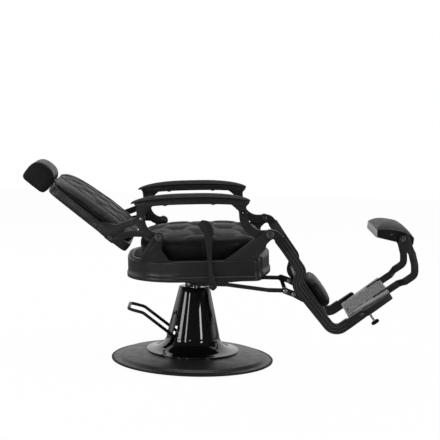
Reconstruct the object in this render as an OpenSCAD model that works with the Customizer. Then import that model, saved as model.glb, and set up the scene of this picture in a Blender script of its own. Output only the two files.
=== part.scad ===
// Hydraulic barber chair: floor disc, pump column, swivelling seat, and a
// back, armrests and leg rest that recline together as one linkage.
// Millimetres. X points to the footrest, Y to the sitter's left, Z up.
// The origin is the middle of the floor disc, on the floor.

/* [Base] */
// Radius of the floor disc over its rubber edge
base_r = 330; // [300:1:360]
// Height of the pump's footing in the middle of the floor disc
base_h = 22; // [18:1:28]
// Height of the floor disc's crown, where the cone cover stands
crown_h = 44; // [40:1:50]
// Thickness of the floor disc's shell
base_wall = 6; // [4:0.5:8]
// Radial width of the rubber edge ring
edge_w = 8; // [6:0.5:12]
// Radius of the cone cover's skirt
skirt_r = 188; // [170:1:210]
// Radius of the cone cover just above its flare
cone_foot_r = 107; // [104:1:118]
// Radius of the cone cover at its top
cone_top_r = 62; // [54:1:70]
// Height of the cone cover's top
cone_top_z = 308; // [296:1:308]
// Wall of the cone cover
cone_wall = 3; // [2:0.5:5]

/* [Hydraulic pump] */
// Radius of the piston rod
rod_r = 26; // [22:0.5:28]
// Wall of the pump cylinder
cylinder_wall = 10; // [6:1:14]
// Height of the pedal's pivot above the floor
pedal_z = 98; // [92:1:104]
// Thickness of the pedal's rod
pedal_rod = 10; // [8:0.5:12]
// Half of the pedal loop's width
pedal_half_w = 71; // [64:1:76]

/* [Seat] */
// Height of the seat frame's reference plane above the floor
seat_z = 359; // [357:1:380]
// Backward tilt of the seat, in degrees
seat_tilt = 3; // [2:0.5:4]
// Depth of the seat pan's side wall
pan_h = 82; // [72:1:95]
// Sheet thickness of the seat pan
pan_wall = 4; // [3:0.5:6]
// Height of the seat cushion at its middle
seat_cushion_h = 112; // [100:1:124]
// Thickness of the seat board
board_t = 12; // [10:1:16]

/* [Recline linkage] */
// Thickness of the ears and of the links beside them
link_t = 12; // [10:0.5:14]
// Radius of the pivot bolts' shanks
bolt_r = 8; // [6:0.5:9]
// Radius of the armrest pins
arm_pin_r = 6; // [5:0.5:8]
// Width of the curved links between the pivots
link_w = 34; // [30:1:38]

/* [Back] */
// Half of the backrest shell's width
back_half_w = 244; // [232:1:256]
// Room between the backrest shell and the links beside it
side_room = 14.7; // [10:0.1:20]
// Thickness of the backrest shell
shell_t = 36; // [32:1:42]
// Thickness of the back cushion at its middle
back_cushion_h = 66; // [54:1:74]
// Half of the headrest's width
head_half_w = 90; // [80:1:110]
// Width of the headrest's post
post_w = 38; // [30:1:46]
// Thickness of the headrest's post
post_t = 10; // [8:0.5:12]

/* [Arms] */
// Width of the armrest pad
arm_pad_w = 54; // [46:1:60]
// Width of the metal rail under the pad
arm_rail_w = 40; // [34:1:44]
// Thickness of the armrest's posts
arm_post_t = 13; // [11:0.5:15]

/* [Leg rest] */
// Width of the leg bars, seen from the side
leg_w = 41; // [36:1:44]
// Thickness of the leg bars
leg_t = 18; // [14:1:20]
// Distance of the shin bars' inner faces from the middle
leg_in = 190; // [186:1:194]
// Height of the push rods' bars
push_h = 16; // [13:1:17]
// Half of the calf pad's width
calf_half_w = 122; // [105:1:130]
// Thickness of the calf pad
calf_pad_h = 46; // [38:1:52]

/* [Footrest] */
// Length of the foot plate
plate_l = 191; // [180:1:200]
// Thickness of the foot plate
plate_t = 8; // [6:0.5:10]
// Thickness of the sliding foot arms
foot_arm_t = 8; // [6:0.5:9]
// Height of the sliding foot arms' bars
foot_arm_w = 28; // [25:1:30]
// Half of the foot pad's width
foot_half_w = 150; // [142:1:165]
// Crown of the foot pad above its board
foot_pad_h = 33; // [24:1:42]
// Diameter of the clamp knob
knob_d = 34; // [28:1:38]

/* [Hidden] */
$fn = 48;
clear = 0.3;            // running gap between pieces that move
seam = 1;               // how far welded pieces run into each other
through = 400;          // length of a hole that goes right through
chassis = "#1b1b1c";
leather = "#141415";
steel = "#b9b9b7";

// Seat frame, side view [x, z]: the pivots of the linkage
back_pivot = [-133, 189];
leg_pivot = [297, 189];
rear_pin = [-200, 263];
front_pin = [194, 277];
pan_bottom = 11;
pan_top = pan_bottom + pan_h;

// Planes of the linkage, as distances from the middle
link_in = back_half_w + side_room;
link_out = link_in + link_t;
ear_in = link_out + clear;
ear_out = ear_in + link_t;
pan_half_w = ear_out + 1;
post_in = link_out + clear;
arm_mid = post_in + arm_post_t;
ear_boss_r = 20;
bolt_head_r = 15;
bolt_head_t = 7;

// ---- Outlines and helpers --------------------------------------------

function unit(v) = v / norm(v);
function turn_left(v) = [-v[1], v[0]];

// Points round one corner b of a path a-b-c, rounded to radius r
function corner(a, b, c, r, steps = 8) =
    let (u = unit(a - b),
         v = unit(c - b),
         half = acos(u * v) / 2,
         centre = b + unit(u + v) * r / sin(half),
         p = b + u * r / tan(half) - centre,
         q = b + v * r / tan(half) - centre)
    r <= 0 ? [b] : [for (i = [0 : steps])
        centre + unit(p * (1 - i / steps) + q * (i / steps)) * r];

function flat2(p) = [p[0], p[1]];

// An open path whose entries are [x, z, radius]
function path(p) = [for (i = [0 : len(p) - 1])
    each (i == 0 || i == len(p) - 1) ? [flat2(p[i])]
        : corner(flat2(p[i - 1]), flat2(p[i]), flat2(p[i + 1]), p[i][2])];

// A closed outline whose entries are [x, z, radius]
function loop(p) = [for (i = [0 : len(p) - 1])
    each corner(flat2(p[(i + len(p) - 1) % len(p)]), flat2(p[i]),
        flat2(p[(i + 1) % len(p)]), p[i][2])];

// Direction of a path at its point i
function heading(p, i) =
    unit(p[min(i + 1, len(p) - 1)] - p[max(i - 1, 0)]);

// A band of width w along an open path
function band(p, w) = concat(
    [for (i = [0 : len(p) - 1]) p[i] + turn_left(heading(p, i)) * w / 2],
    [for (i = [len(p) - 1 : -1 : 0]) p[i] - turn_left(heading(p, i)) * w / 2]);

// The seat frame, which leans back with the seat
module in_seat() translate([0, 0, seat_z]) rotate([0, -seat_tilt, 0]) children();

// The backrest's frame: local Z runs up the backrest, local X faces the sitter
back_lean = 50.2;
module in_back() in_seat() rotate([0, -back_lean, 0]) children();

// The foot plate's frame: local X runs up the plate, local Z is its face
plate_rear = [607, -163];
plate_rise = 33;
module in_plate() in_seat() translate([plate_rear[0], 0, plate_rear[1]])
    rotate([0, -plate_rise, 0]) children();
function to_plate(p) = let (d = p - plate_rear)
    [d[0] * cos(plate_rise) + d[1] * sin(plate_rise),
     -d[0] * sin(plate_rise) + d[1] * cos(plate_rise)];
function from_plate(x, z) = plate_rear
    + x * [cos(plate_rise), sin(plate_rise)] + z * [-sin(plate_rise), cos(plate_rise)];

// A side-view outline, standing between y0 and y1
module slab(y0, y1) translate([0, max(y0, y1), 0]) rotate([90, 0, 0])
    linear_extrude(abs(y1 - y0)) children();

// A round bar along Y at the side-view point p
module bar_y(p, r, y0, y1) translate([p[0], max(y0, y1), p[1]]) rotate([90, 0, 0])
    cylinder(r = r, h = abs(y1 - y0));

// A flat bar that steps sideways from y0 to y1 while it runs from p to q
module joggle(p, q, y0, y1, w, t) {
    run = norm(q - p);
    rise = atan2(q[1] - p[1], q[0] - p[0]);
    translate([p[0], 0, p[1]]) rotate([0, -rise, 0]) translate([0, 0, -w / 2])
        linear_extrude(w) polygon([[0, y0], [0, y0 + t], [seam, y0 + t],
            [run - seam, y1 + t], [run, y1 + t], [run, y1], [run - seam, y1], [seam, y0]]);
}

// A piece for the left side is the right one mirrored across the middle
module side(s) if (s > 0) children(); else mirror([0, 1, 0]) children();
module both() for (s = [1, -1]) side(s) children();

// A hexagon-socket bolt head that faces outwards at distance y
module bolt_head(p, r, y, t) difference() {
    bar_y(p, r, y, y + t);
    translate([p[0], y + t + 0.1, p[1]]) rotate([90, 0, 0])
        cylinder(r = r * 0.45, h = t * 0.6, $fn = 6);
}

// A soft pad on a superellipse outline: its sides draw in below and above
// the widest line, and its face has sewn diamonds of the given pitch.
function outline(a, e) = pow(pow(abs(cos(a)), e) + pow(abs(sin(a)), e), -1 / e);
function puff(x, y, px, py) = px <= 0 ? 1 :
    pow(abs(sin(90 * (2 * x / px + 2 * y / py)) * sin(90 * (2 * x / px - 2 * y / py))), 0.6);

// Rings of the pad as [scale, height share, share of the sewn depth]
function pad_rings(n) = concat(
    [[0.93, 0, 0], [0.985, 0.12, 0], [1, 0.34, 0], [0.985, 0.58, 0.1], [0.94, 0.76, 0.4]],
    [for (i = [0 : n - 1]) let (s = 0.86 * (1 - i / n)) [s, 1 - 0.32 * pow(s, 3), 1]]);

module soft_pad(hx, hy, h, e, n, rings, px, py, depth, fall = 0) {
    r = pad_rings(rings);
    m = len(r);
    function thin(x) = 1 - fall * max(0, 0.25 - x / hx) / 1.25;
    ring_points = [for (k = [0 : m - 1]) each [for (i = [0 : n - 1])
        let (a = 360 * i / n,
             s = r[k][0] * outline(a, e),
             x = hx * s * cos(a),
             y = hy * s * sin(a))
        [x, y, thin(x) * (h * r[k][1] - r[k][2] * depth * (1 - puff(x, y, px, py)))]]];
    points = concat(ring_points, [[0, 0, 0], [0, 0, thin(0) * (h - depth
        * (1 - puff(0, 0, px, py)))]]);
    walls = [for (k = [0 : m - 2]) each [for (i = [0 : n - 1])
        let (a = k * n + i, b = k * n + (i + 1) % n)
        each [[a, a + n, b + n], [a, b + n, b]]]];
    floor_fan = [for (i = [0 : n - 1]) [m * n, i, (i + 1) % n]];
    top_fan = [for (i = [0 : n - 1]) [m * n + 1, (m - 1) * n + (i + 1) % n, (m - 1) * n + i]];
    polyhedron(points, concat(walls, floor_fan, top_fan), convexity = 6);
}

// ---- Base --------------------------------------------------------------

// The disc: a shallow cone that falls to a step, then a thin rim in rubber
ring_t = 3;
ring_in = base_r - 50;
step_r = base_r - 28;
rim_h = 14;
boss_r = 95;
well_r = 152;
flange_pcr = 72;
anchor_r = 6;
module six_bolts() for (i = [0 : 5]) rotate([0, 0, 30 + 60 * i])
    translate([flange_pcr, 0, 0]) children();
module base_plate() color(chassis) difference() {
    rotate_extrude($fn = 96) polygon([[0, 0], [boss_r, 0], [boss_r + 6, base_h - base_wall],
        [well_r + 8, base_h - base_wall], [well_r + 18, crown_h - base_wall - 1],
        [skirt_r - 2, crown_h - base_wall - 1], [ring_in - 4, 22], [ring_in, ring_t],
        [base_r - edge_w, rim_h - 3], [base_r - edge_w, rim_h], [step_r + 1, rim_h + 2.5],
        [step_r - 10, 27], [skirt_r + 3, crown_h], [well_r + 10, crown_h], [well_r, base_h],
        [0, base_h]]);
    six_bolts() translate([0, 0, anchor_depth]) cylinder(r = anchor_r, h = base_h);
}

module base_edge_ring() color("#0c0c0c") rotate_extrude($fn = 96)
    polygon([[ring_in, 0], [ring_in + 12, 0], [base_r - 1, rim_h - 6], [base_r, rim_h - 5],
        [base_r, rim_h - 1], [base_r - 3, rim_h + 1], [base_r - edge_w, rim_h + 1],
        [base_r - edge_w, rim_h - 3], [ring_in, ring_t]]);

// The cone cover: a skirt, a flare that is a quarter ellipse, then a cone
skirt_z = crown_h + 6;
flare_z = 109;
flare_steps = 8;
function cover_line(off) = concat(
    [[skirt_r - off, crown_h]],
    [for (i = [0 : flare_steps]) let (a = 90 * i / flare_steps)
        [cone_foot_r + (skirt_r - cone_foot_r) * (1 - sin(a)) - off,
         skirt_z + (flare_z - skirt_z) * (1 - cos(a)) - off * cos(a)]],
    [[cone_top_r - off, cone_top_z - off]]);
pedal_slot_w = pedal_rod + 10;
pedal_pivot = [-58, pedal_z];
module cone_cover() color("black") difference() {
    rotate_extrude($fn = 96) polygon(concat(cover_line(0), [[rod_r + 1, cone_top_z],
        [rod_r + 1, cone_top_z - cone_wall]],
        [for (i = [len(cover_line(0)) - 1 : -1 : 0]) cover_line(cone_wall)[i]]));
    for (s = [-1, 1]) translate([-170, s * pedal_half_w - pedal_slot_w / 2, 62])
        cube([115, pedal_slot_w, 92]);
}

cylinder_top = cone_top_z - cone_wall - 4;
flange_t = 12;
anchor_depth = 6;
module pump_cylinder() color("#6f7173") difference() {
    union() {
        translate([0, 0, base_h]) cylinder(r = rod_r + clear + cylinder_wall,
            h = cylinder_top - base_h);
        translate([0, 0, base_h]) cylinder(r = 88, h = flange_t);
    }
    translate([0, 0, base_h + flange_t]) cylinder(r = rod_r + clear, h = cylinder_top);
    six_bolts() translate([0, 0, base_h - 1]) cylinder(r = anchor_r, h = 20);
}

block_half_w = 24;
module pump_block() color("#6f7173") difference() {
    translate([pedal_pivot[0] - 14, -block_half_w, base_h + flange_t])
        cube([14 + abs(pedal_pivot[0]) - rod_r - cylinder_wall / 2, 2 * block_half_w,
            pedal_z - base_h + 6]);
    translate([0, 0, base_h]) cylinder(r = rod_r + clear + cylinder_wall, h = 200);
    bar_y(pedal_pivot, bolt_r, -40, 40);
}

hub_w = 14;
module pedal_shaft() color(steel) bar_y(pedal_pivot, bolt_r,
    -pedal_half_w - hub_w / 2 - 3, pedal_half_w + hub_w / 2 + 3);

module base_bolts() color(steel) six_bolts() {
    translate([0, 0, anchor_depth]) cylinder(r = anchor_r, h = base_h + flange_t - anchor_depth);
    translate([0, 0, base_h + flange_t]) cylinder(r = 10, h = 7, $fn = 6);
}

// ---- Pump pedal: one bent rod with a hub on each end -------------------

pedal_tip = [-263, 219];
pedal_bend = [-204, 205];
pedal_corner_r = 22;
// A bent round rod: rings of a fixed count of sides along a rounded 3D path
function path3(p, radii) = [for (i = [0 : len(p) - 1])
    each (i == 0 || i == len(p) - 1) ? [p[i]] : corner(p[i - 1], p[i], p[i + 1], radii[i], 5)];
module bent_rod(points, r, sides = 12) {
    m = len(points);
    rings = [for (i = [0 : m - 1]) let (d = heading(points, i), across = unit(cross(d, [0, 0, 1])),
            up = cross(across, d)) each [for (k = [0 : sides - 1]) let (a = 360 * k / sides)
                points[i] + r * (across * cos(a) + up * sin(a))]];
    polyhedron(rings, concat(
        [for (i = [0 : m - 2]) each [for (k = [0 : sides - 1])
            let (a = i * sides + k, b = i * sides + (k + 1) % sides)
            each [[a, b, b + sides], [a, b + sides, a + sides]]]],
        [for (k = [1 : sides - 2]) [0, k + 1, k]],
        [for (k = [1 : sides - 2]) let (e = (m - 1) * sides) [e, e + k, e + k + 1]]),
        convexity = 6);
}
pedal_turn = let (y = pedal_half_w) [[pedal_pivot[0], y, pedal_pivot[1]],
    [pedal_bend[0], y, pedal_bend[1]], [pedal_tip[0], y, pedal_tip[1]],
    [pedal_tip[0], -y, pedal_tip[1]], [pedal_bend[0], -y, pedal_bend[1]],
    [pedal_pivot[0], -y, pedal_pivot[1]]];
module pump_pedal() color("#202021") difference() {
    union() {
        bent_rod(path3(pedal_turn, [0, 40, pedal_corner_r, pedal_corner_r, 40, 0]), pedal_rod / 2);
        both() bar_y(pedal_pivot, bolt_r + 7, pedal_half_w - hub_w / 2, pedal_half_w + hub_w / 2);
    }
    bar_y(pedal_pivot, bolt_r + clear / 2, -120, 120);
}

// ---- Lift ---------------------------------------------------------------

rod_foot_z = base_h + flange_t + 2;
rod_top_z = seat_z - 6;
bearing_t = 4;
module piston_rod() color(steel) translate([0, 0, rod_foot_z])
    cylinder(r = rod_r, h = rod_top_z - rod_foot_z);
module swivel_bearing() color("#8f8f8d") translate([0, 0, rod_top_z])
    cylinder(r = rod_r - 2, h = bearing_t);

// ---- Seat ---------------------------------------------------------------

box_rear = -39;
box_front = 95;
box_half_w = 70;
cheek_t = 12;
cheek_l = 31;
cheek_bottom = -13;
box_bottom = -44;
hub_half_w = rod_r + 10;
lever_pivot = [71, -4];
module lock_box() color(chassis) difference() {
    in_seat() {
        translate([box_rear, -box_half_w, pan_bottom - 8])
            cube([box_front - box_rear, 2 * box_half_w, 8]);
        both() {
            translate([box_rear, box_half_w - cheek_t, box_bottom])
                cube([cheek_l, cheek_t, pan_bottom - box_bottom - 4]);
            translate([box_rear, box_half_w - cheek_t, cheek_bottom])
                cube([box_front - box_rear, cheek_t, pan_bottom - cheek_bottom - 4]);
        }
        translate([box_rear, -hub_half_w, box_bottom])
            cube([box_front - box_rear, 2 * hub_half_w, pan_bottom - box_bottom - 4]);
        slab(-box_half_w, box_half_w) polygon([[box_rear + 4, pan_bottom], [-79, pan_bottom],
            [-79, pan_bottom - 16], [box_rear + 4, pan_bottom - 34]]);
    }
    translate([0, 0, seat_z - 120]) cylinder(r = rod_r + clear, h = 120 - 6 + bearing_t + clear);
    in_seat() {
        bar_y(lever_pivot, bolt_r + clear / 2, -120, hub_half_w - 6);
        translate([-120, -box_half_w + cheek_t, box_bottom - 40])
            cube([81 + 7, 2 * (box_half_w - cheek_t), 40 + pan_bottom - 14 - box_bottom]);
    }
}

module mount_bolts() color(steel) in_seat() {
    both() for (p = [[-25, -30], [36, -4]]) bar_y(p, 7, box_half_w, box_half_w + 6);
    both() for (x = [-25, 82]) translate([x, 48, pan_bottom + pan_wall])
        cylinder(r = 9, h = 7, $fn = 6);
}

// Plan of the pan, grown by g: rounded at the back, with a bulge in front
pan_rear = -267;
pan_front = 256;
pan_nose = 303;
nose_half_w = 182;
nose_arc = 35;
module pan_plan(g) {
    polygon(loop([[pan_rear - g, -pan_half_w - g, 225 + g],
        [pan_front + g, -pan_half_w - g, 24 + g],
        [pan_front + g, pan_half_w + g, 24 + g], [pan_rear - g, pan_half_w + g, 225 + g]]));
    polygon(concat([[pan_front - 80, -nose_half_w - g]],
        [for (i = [-8 : 8]) [pan_nose + g - nose_arc * pow(i / 8, 2), (nose_half_w + g) * i / 8]],
        [[pan_front - 80, nose_half_w + g]]));
}
lip_h = 21;
lip = 4;
rim_w = 26;
module pan_layer(z, h, g) translate([0, 0, z]) linear_extrude(h) pan_plan(g);
module seat_pan() color(chassis) in_seat() difference() {
    union() {
        pan_layer(pan_bottom, lip_h, lip);
        pan_layer(pan_bottom + lip_h - seam, pan_h - lip_h + seam, 0);
    }
    pan_layer(pan_bottom + pan_wall, pan_h - 2 * pan_wall, -pan_wall);
    pan_layer(pan_top - pan_wall - 1, pan_wall + 2, -rim_w);
}

rail_half_span = 120;
module seat_rails() color(chassis) in_seat() both()
    translate([-170, rail_half_span - 15, pan_bottom + pan_wall])
        cube([380, 30, pan_h - pan_wall - board_t]);

module seat_board() color("#161514") in_seat() translate([0, 0, pan_top - board_t])
    linear_extrude(board_t) pan_plan(-rim_w - 1);

cushion_mid = 28;
seat_cushion_hx = 245;
seat_cushion_hy = link_in - 5;
module seat_cushion() color(leather) in_seat()
    translate([cushion_mid, 0, pan_top]) soft_pad(seat_cushion_hx, seat_cushion_hy,
        seat_cushion_h, 3.6, 56, 15, 190, 170, 16);

// Ears: cast plates that stand on the pan's rim and carry the pivots; the rear
// ones also stand on a foot that reaches in over the rounded corner
foot_in = 191;
module ear(outline, pivot) color(chassis) in_seat() both() difference() {
    slab(ear_in, ear_out) {
        polygon(loop(outline));
        translate(pivot) circle(r = ear_boss_r);
    }
    bar_y(pivot, bolt_r, ear_in - 1, ear_out + 1);
}
module rear_ears() {
    ear([[-203, pan_top, 0], [-203, 122, 14], [-151, 197, 4], [-118, 184, 6],
        [-124, 140, 22], [-92, pan_top, 0]], back_pivot);
    color(chassis) in_seat() both() translate([0, 0, pan_top]) linear_extrude(6)
        polygon(loop([[-203, foot_in, 20], [-203, ear_in + seam, 0], [-92, ear_in + seam, 0],
            [-92, ear_in - 12, 6], [-140, ear_in - 18, 30], [-166, foot_in + 31, 20]]));
}
module front_ears() ear([[116, pan_top, 0], [281, 205, 8], [308, 176, 8], [282, 152, 14],
    [280, 134, 16], [252, 116, 14], [252, pan_top, 0]], leg_pivot);

module pivot_bolts() color("#2a2a2b") in_seat() both() for (p = [back_pivot, leg_pivot]) {
    bolt_head(p, bolt_head_r, ear_out, bolt_head_t);
    bar_y(p, bolt_r, link_in, ear_out + 1);
    bar_y(p, bolt_r + 4, link_in - 3, link_in - clear);
}

// Lever: a hooked cast handle beside the pan, on a shaft to the lock
lever_in = pan_half_w + 12;
lever_t = 12;
lever_outline = [[18, 241, 3], [36, 255, 7], [56, 252, 12], [73, 238, 14], [81, 205, 30],
    [72, 160, 60], [71, 100, 60], [75, 50, 40], [86, 8, 8], [88, -8, 6], [73, -22, 8],
    [58, -10, 8], [57, 38, 40], [53, 108, 60], [48, 160, 30], [42, 202, 12], [24, 230, 8]];
module recline_lever() color(chassis) in_seat() difference() {
    slab(-lever_in, -lever_in - lever_t) polygon(loop(lever_outline));
    bar_y(lever_pivot, bolt_r, -lever_in - lever_t - 1, -lever_in + 1);
}
module lever_shaft() color(steel) in_seat()
    bar_y(lever_pivot, bolt_r, -lever_in - lever_t - 2, hub_half_w - 8);

// ---- Back ---------------------------------------------------------------

upper_bolt = [-378, 241];
lower_bolt = [-320, 190];
screw_r = 5;
module back_bracket(s) color(chassis) in_seat() side(s) difference() {
    union() {
        slab(link_in, link_out) {
            polygon(band(path([[rear_pin[0], rear_pin[1], 0], [rear_pin[0], back_pivot[1], 64],
                [back_pivot[0], back_pivot[1], 0]]), link_w));
            polygon(band(path([[-204, 258, 0], [-290, 228, 60], [-318, 222, 0]]), 25));
            polygon(band(path([[-165, 202, 0], [-232, 205, 90], [-318, 188, 0]]), 26));
            polygon(loop([[-352, 240, 6], [-300, 241, 6], [-276, 218, 8], [-276, 190, 8],
                [-313, 167, 6], [-342, 190, 6]]));
            translate(rear_pin) circle(r = link_w / 2);
            translate(back_pivot) circle(r = ear_boss_r - 1);
        }
        slab(back_half_w, link_in + seam) polygon(loop([[-402, 246, 8], [-386, 266, 8],
            [-356, 250, 10], [-300, 241, 6], [-288, 214, 8], [-290, 182, 8], [-313, 166, 8],
            [-338, 187, 10]]));
    }
    bar_y(back_pivot, bolt_r + clear / 2, 0, through);
    bar_y(rear_pin, arm_pin_r, 0, through);
    for (p = [upper_bolt, lower_bolt]) bar_y(p, screw_r, 0, through);
}
module back_bracket_right() back_bracket(-1);
module back_bracket_left() back_bracket(1);

// Backrest shell and cushion, in the back's frame
shell_back = -74;
shell_front = shell_back + shell_t;
shell_foot = 286;
shell_top = 665;
post_x = shell_back + shell_t / 2;
post_slot = 150;
module back_shell() color(chassis) in_back() difference() {
    translate([shell_back, 0, 0]) rotate([90, 0, 90]) linear_extrude(shell_t)
        polygon(loop([[-back_half_w, shell_foot, 34], [back_half_w, shell_foot, 34],
            [back_half_w, shell_top, 70], [-back_half_w, shell_top, 70]]));
    translate([post_x - post_t / 2 - clear, -post_w / 2 - clear, shell_top - post_slot])
        cube([post_t + 2 * clear, post_w + 2 * clear, post_slot + 1]);
    rotate([0, back_lean, 0]) for (p = [upper_bolt, lower_bolt]) both()
        bar_y(p, screw_r, back_half_w - 24, back_half_w + 1);
}

cushion_foot = shell_foot + 3;
cushion_top = shell_top + 7;
back_mid = (cushion_foot + cushion_top) / 2;
back_hz = (cushion_top - cushion_foot) / 2;
module back_cushion() color(leather) in_back() translate([shell_front, 0, back_mid])
    rotate([0, 90, 0]) soft_pad(back_hz, back_half_w - 2, back_cushion_h, 5,
        56, 17, 96, 124, 12, 0.42);

module bracket_screws() color("#2a2a2b") in_seat() both() for (p = [upper_bolt, lower_bolt]) {
    face = p == upper_bolt ? link_in + seam : link_out;
    bolt_head(p, 9, face, 5);
    bar_y(p, screw_r, back_half_w - 24, face + 1);
}

module arm_pins() color(steel) in_seat() both() bar_y(rear_pin, arm_pin_r, link_in,
    post_in + arm_post_t + 1);

head_foot = shell_top + 10;
head_l = 110;
head_back = -110;
head_t = 90;
post_in_shell = 100;
module headrest_post() color(steel) in_back()
    translate([post_x - post_t / 2, -post_w / 2, shell_top - post_in_shell])
        cube([post_t, post_w, head_foot + 34 - shell_top + post_in_shell]);

// A bolster with a D section: square at the back, round towards the sitter
head_sides = 32;
head_mid = 0.45 * head_t;
head_rows = [[-1, 0.9], [-0.965, 0.97], [-0.9, 1], [-0.45, 1], [0, 1], [0.45, 1], [0.9, 1],
    [0.965, 0.97], [1, 0.9]];
function swell(v, p) = sign(v) * pow(abs(v), 2 / p);
function head_point(a, k) = let (front = cos(a) > 0, p = front ? 2.5 : 6)
    [head_mid + swell(cos(a), p) * (front ? (head_t - head_mid) * k : head_mid),
        swell(sin(a), p) * head_l / 2 * k];
module headrest_pad() color(leather) in_back() difference() {
    translate([head_back, 0, head_foot + head_l / 2]) {
        rows = [for (row = head_rows) [for (i = [0 : head_sides - 1])
            let (q = head_point(360 * i / head_sides, row[1])) [q[0], head_half_w * row[0], q[1]]]];
        pts = [for (row = rows) each row];
        n = len(head_rows);
        polyhedron(pts, concat(
            [for (j = [0 : n - 2]) each [for (i = [0 : head_sides - 1])
                let (a = j * head_sides + i, b = j * head_sides + (i + 1) % head_sides)
                each [[a, b + head_sides, a + head_sides], [a, b, b + head_sides]]]],
            [for (i = [1 : head_sides - 2]) [0, i + 1, i]],
            [for (i = [1 : head_sides - 2]) let (m = (n - 1) * head_sides)
                [m, m + i, m + i + 1]]), convexity = 4);
    }
    translate([post_x - post_t / 2, -post_w / 2, head_foot - 10]) cube([post_t, post_w, 44]);
}

// ---- Arms ----------------------------------------------------------------

rail_top = 322;
rail_h = 18;
pad_rise = 21;
pad_x0 = -236;
pad_x1 = 223;
// Height of the rail's crown along its length: an arch between the tips
function arch(x, rise) = let (t = 2 * (x - pad_x0) / (pad_x1 - pad_x0) - 1)
    rise * (1 - pow(abs(t), 2.6));
// The pad's cross-sections lie at arm_t() from -1 to 1, closer near the tips
arm_rows = 19;
function arm_t(j) = sin(90 * (2 * j / (arm_rows - 1) - 1));
function arm_x(j) = (pad_x0 + pad_x1) / 2 + (pad_x1 - pad_x0) / 2 * arm_t(j);
function pad_line() = [for (j = [2 : arm_rows - 2]) [arm_x(j), rail_top + arch(arm_x(j), 12)]];
module arm_rail(s) color(chassis) in_seat() side(s) difference() {
    union() {
        slab(arm_mid - arm_rail_w / 2, arm_mid + arm_rail_w / 2) polygon(concat(pad_line(),
            [for (n = len(pad_line()) - 1, i = [n : -1 : 0])
                pad_line()[i] - [0, i == 0 || i == n ? 5 : rail_h]]));
        slab(post_in, post_in + arm_post_t) {
            polygon(loop([[-219, 322, 0], [-216, 300, 10], [rear_pin[0] - 15, 262, 0],
                [rear_pin[0] + 14, 262, 0], [-182, 284, 24], [-150, 312, 30], [-120, 322, 0]]));
            translate(rear_pin) circle(r = 15);
            polygon(loop([[118, 322, 0], [152, 308, 26], [178, 284, 30],
                [front_pin[0] - 14, 276, 0],
                [front_pin[0] + 15, 276, 0], [207, 300, 12], [218, 322, 0]]));
            translate(front_pin) circle(r = 15);
        }
    }
    bar_y(rear_pin, arm_pin_r + clear / 2, 0, through);
    bar_y(front_pin, arm_pin_r + 3, 0, through);
    for (x = pad_screw_x) translate([x, arm_mid, 0]) cylinder(r = pad_screw_r, h = through);
}
module arm_rail_right() arm_rail(-1);
module arm_rail_left() arm_rail(1);

pad_screw_x = [-105, 80];
pad_screw_r = 3.5;
pad_head_r = 7;
module pad_screw_set(s) color("#2a2a2b") in_seat() side(s) for (x = pad_screw_x)
    let (z = min([for (d = [-pad_head_r, pad_head_r]) lookup(x + d, pad_line())]) - rail_h)
        translate([x, arm_mid, z - 4]) {
            cylinder(r = pad_head_r, h = 4);
            cylinder(r = pad_screw_r, h = rail_h + 3);
        }
module pad_screws() pad_screw_set(-1);
module pad_screws_left() pad_screw_set(1);

// The pad: sections along X whose width and height taper to boat-like tips
arm_sides = 20;
function arm_row(j) = let (t = abs(arm_t(j)),
        x = arm_x(j),
        w = arm_pad_w / 2 * (0.5 + 0.5 * pow(max(0, 1 - pow(t, 6)), 0.5)),
        h = 4 + pad_rise * pow(max(0, 1 - pow(t, 3)), 0.6),
        z = rail_top + arch(x, 12))
    [for (i = [0 : arm_sides - 1]) let (a = 360 * i / arm_sides, c = cos(a), v = sin(a))
        [x, w * c * (1 - 0.12 * max(0, v)), z + (v > 0 ? h * pow(v, 0.75) : 0)]];
module arm_pad(s) color(leather) in_seat() side(s)
    translate([0, arm_mid, 0]) {
        pts = [for (j = [0 : arm_rows - 1]) each arm_row(j)];
        polyhedron(pts, concat(
            [for (j = [0 : arm_rows - 2]) each [for (i = [0 : arm_sides - 1])
                let (a = j * arm_sides + i, b = j * arm_sides + (i + 1) % arm_sides)
                each [[a, a + arm_sides, b + arm_sides], [a, b + arm_sides, b]]]],
            [for (i = [1 : arm_sides - 2]) let (q = arm_sides / 4) [q, (q + i) % arm_sides,
                (q + i + 1) % arm_sides]],
            [for (i = [1 : arm_sides - 2]) let (q = arm_sides / 4, m = (arm_rows - 1) * arm_sides)
                [m + q, m + (q + i + 1) % arm_sides, m + (q + i) % arm_sides]]), convexity = 4);
    }
module arm_pad_right() arm_pad(-1);
module arm_pad_left() arm_pad(1);

// ---- Leg rest --------------------------------------------------------------

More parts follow.
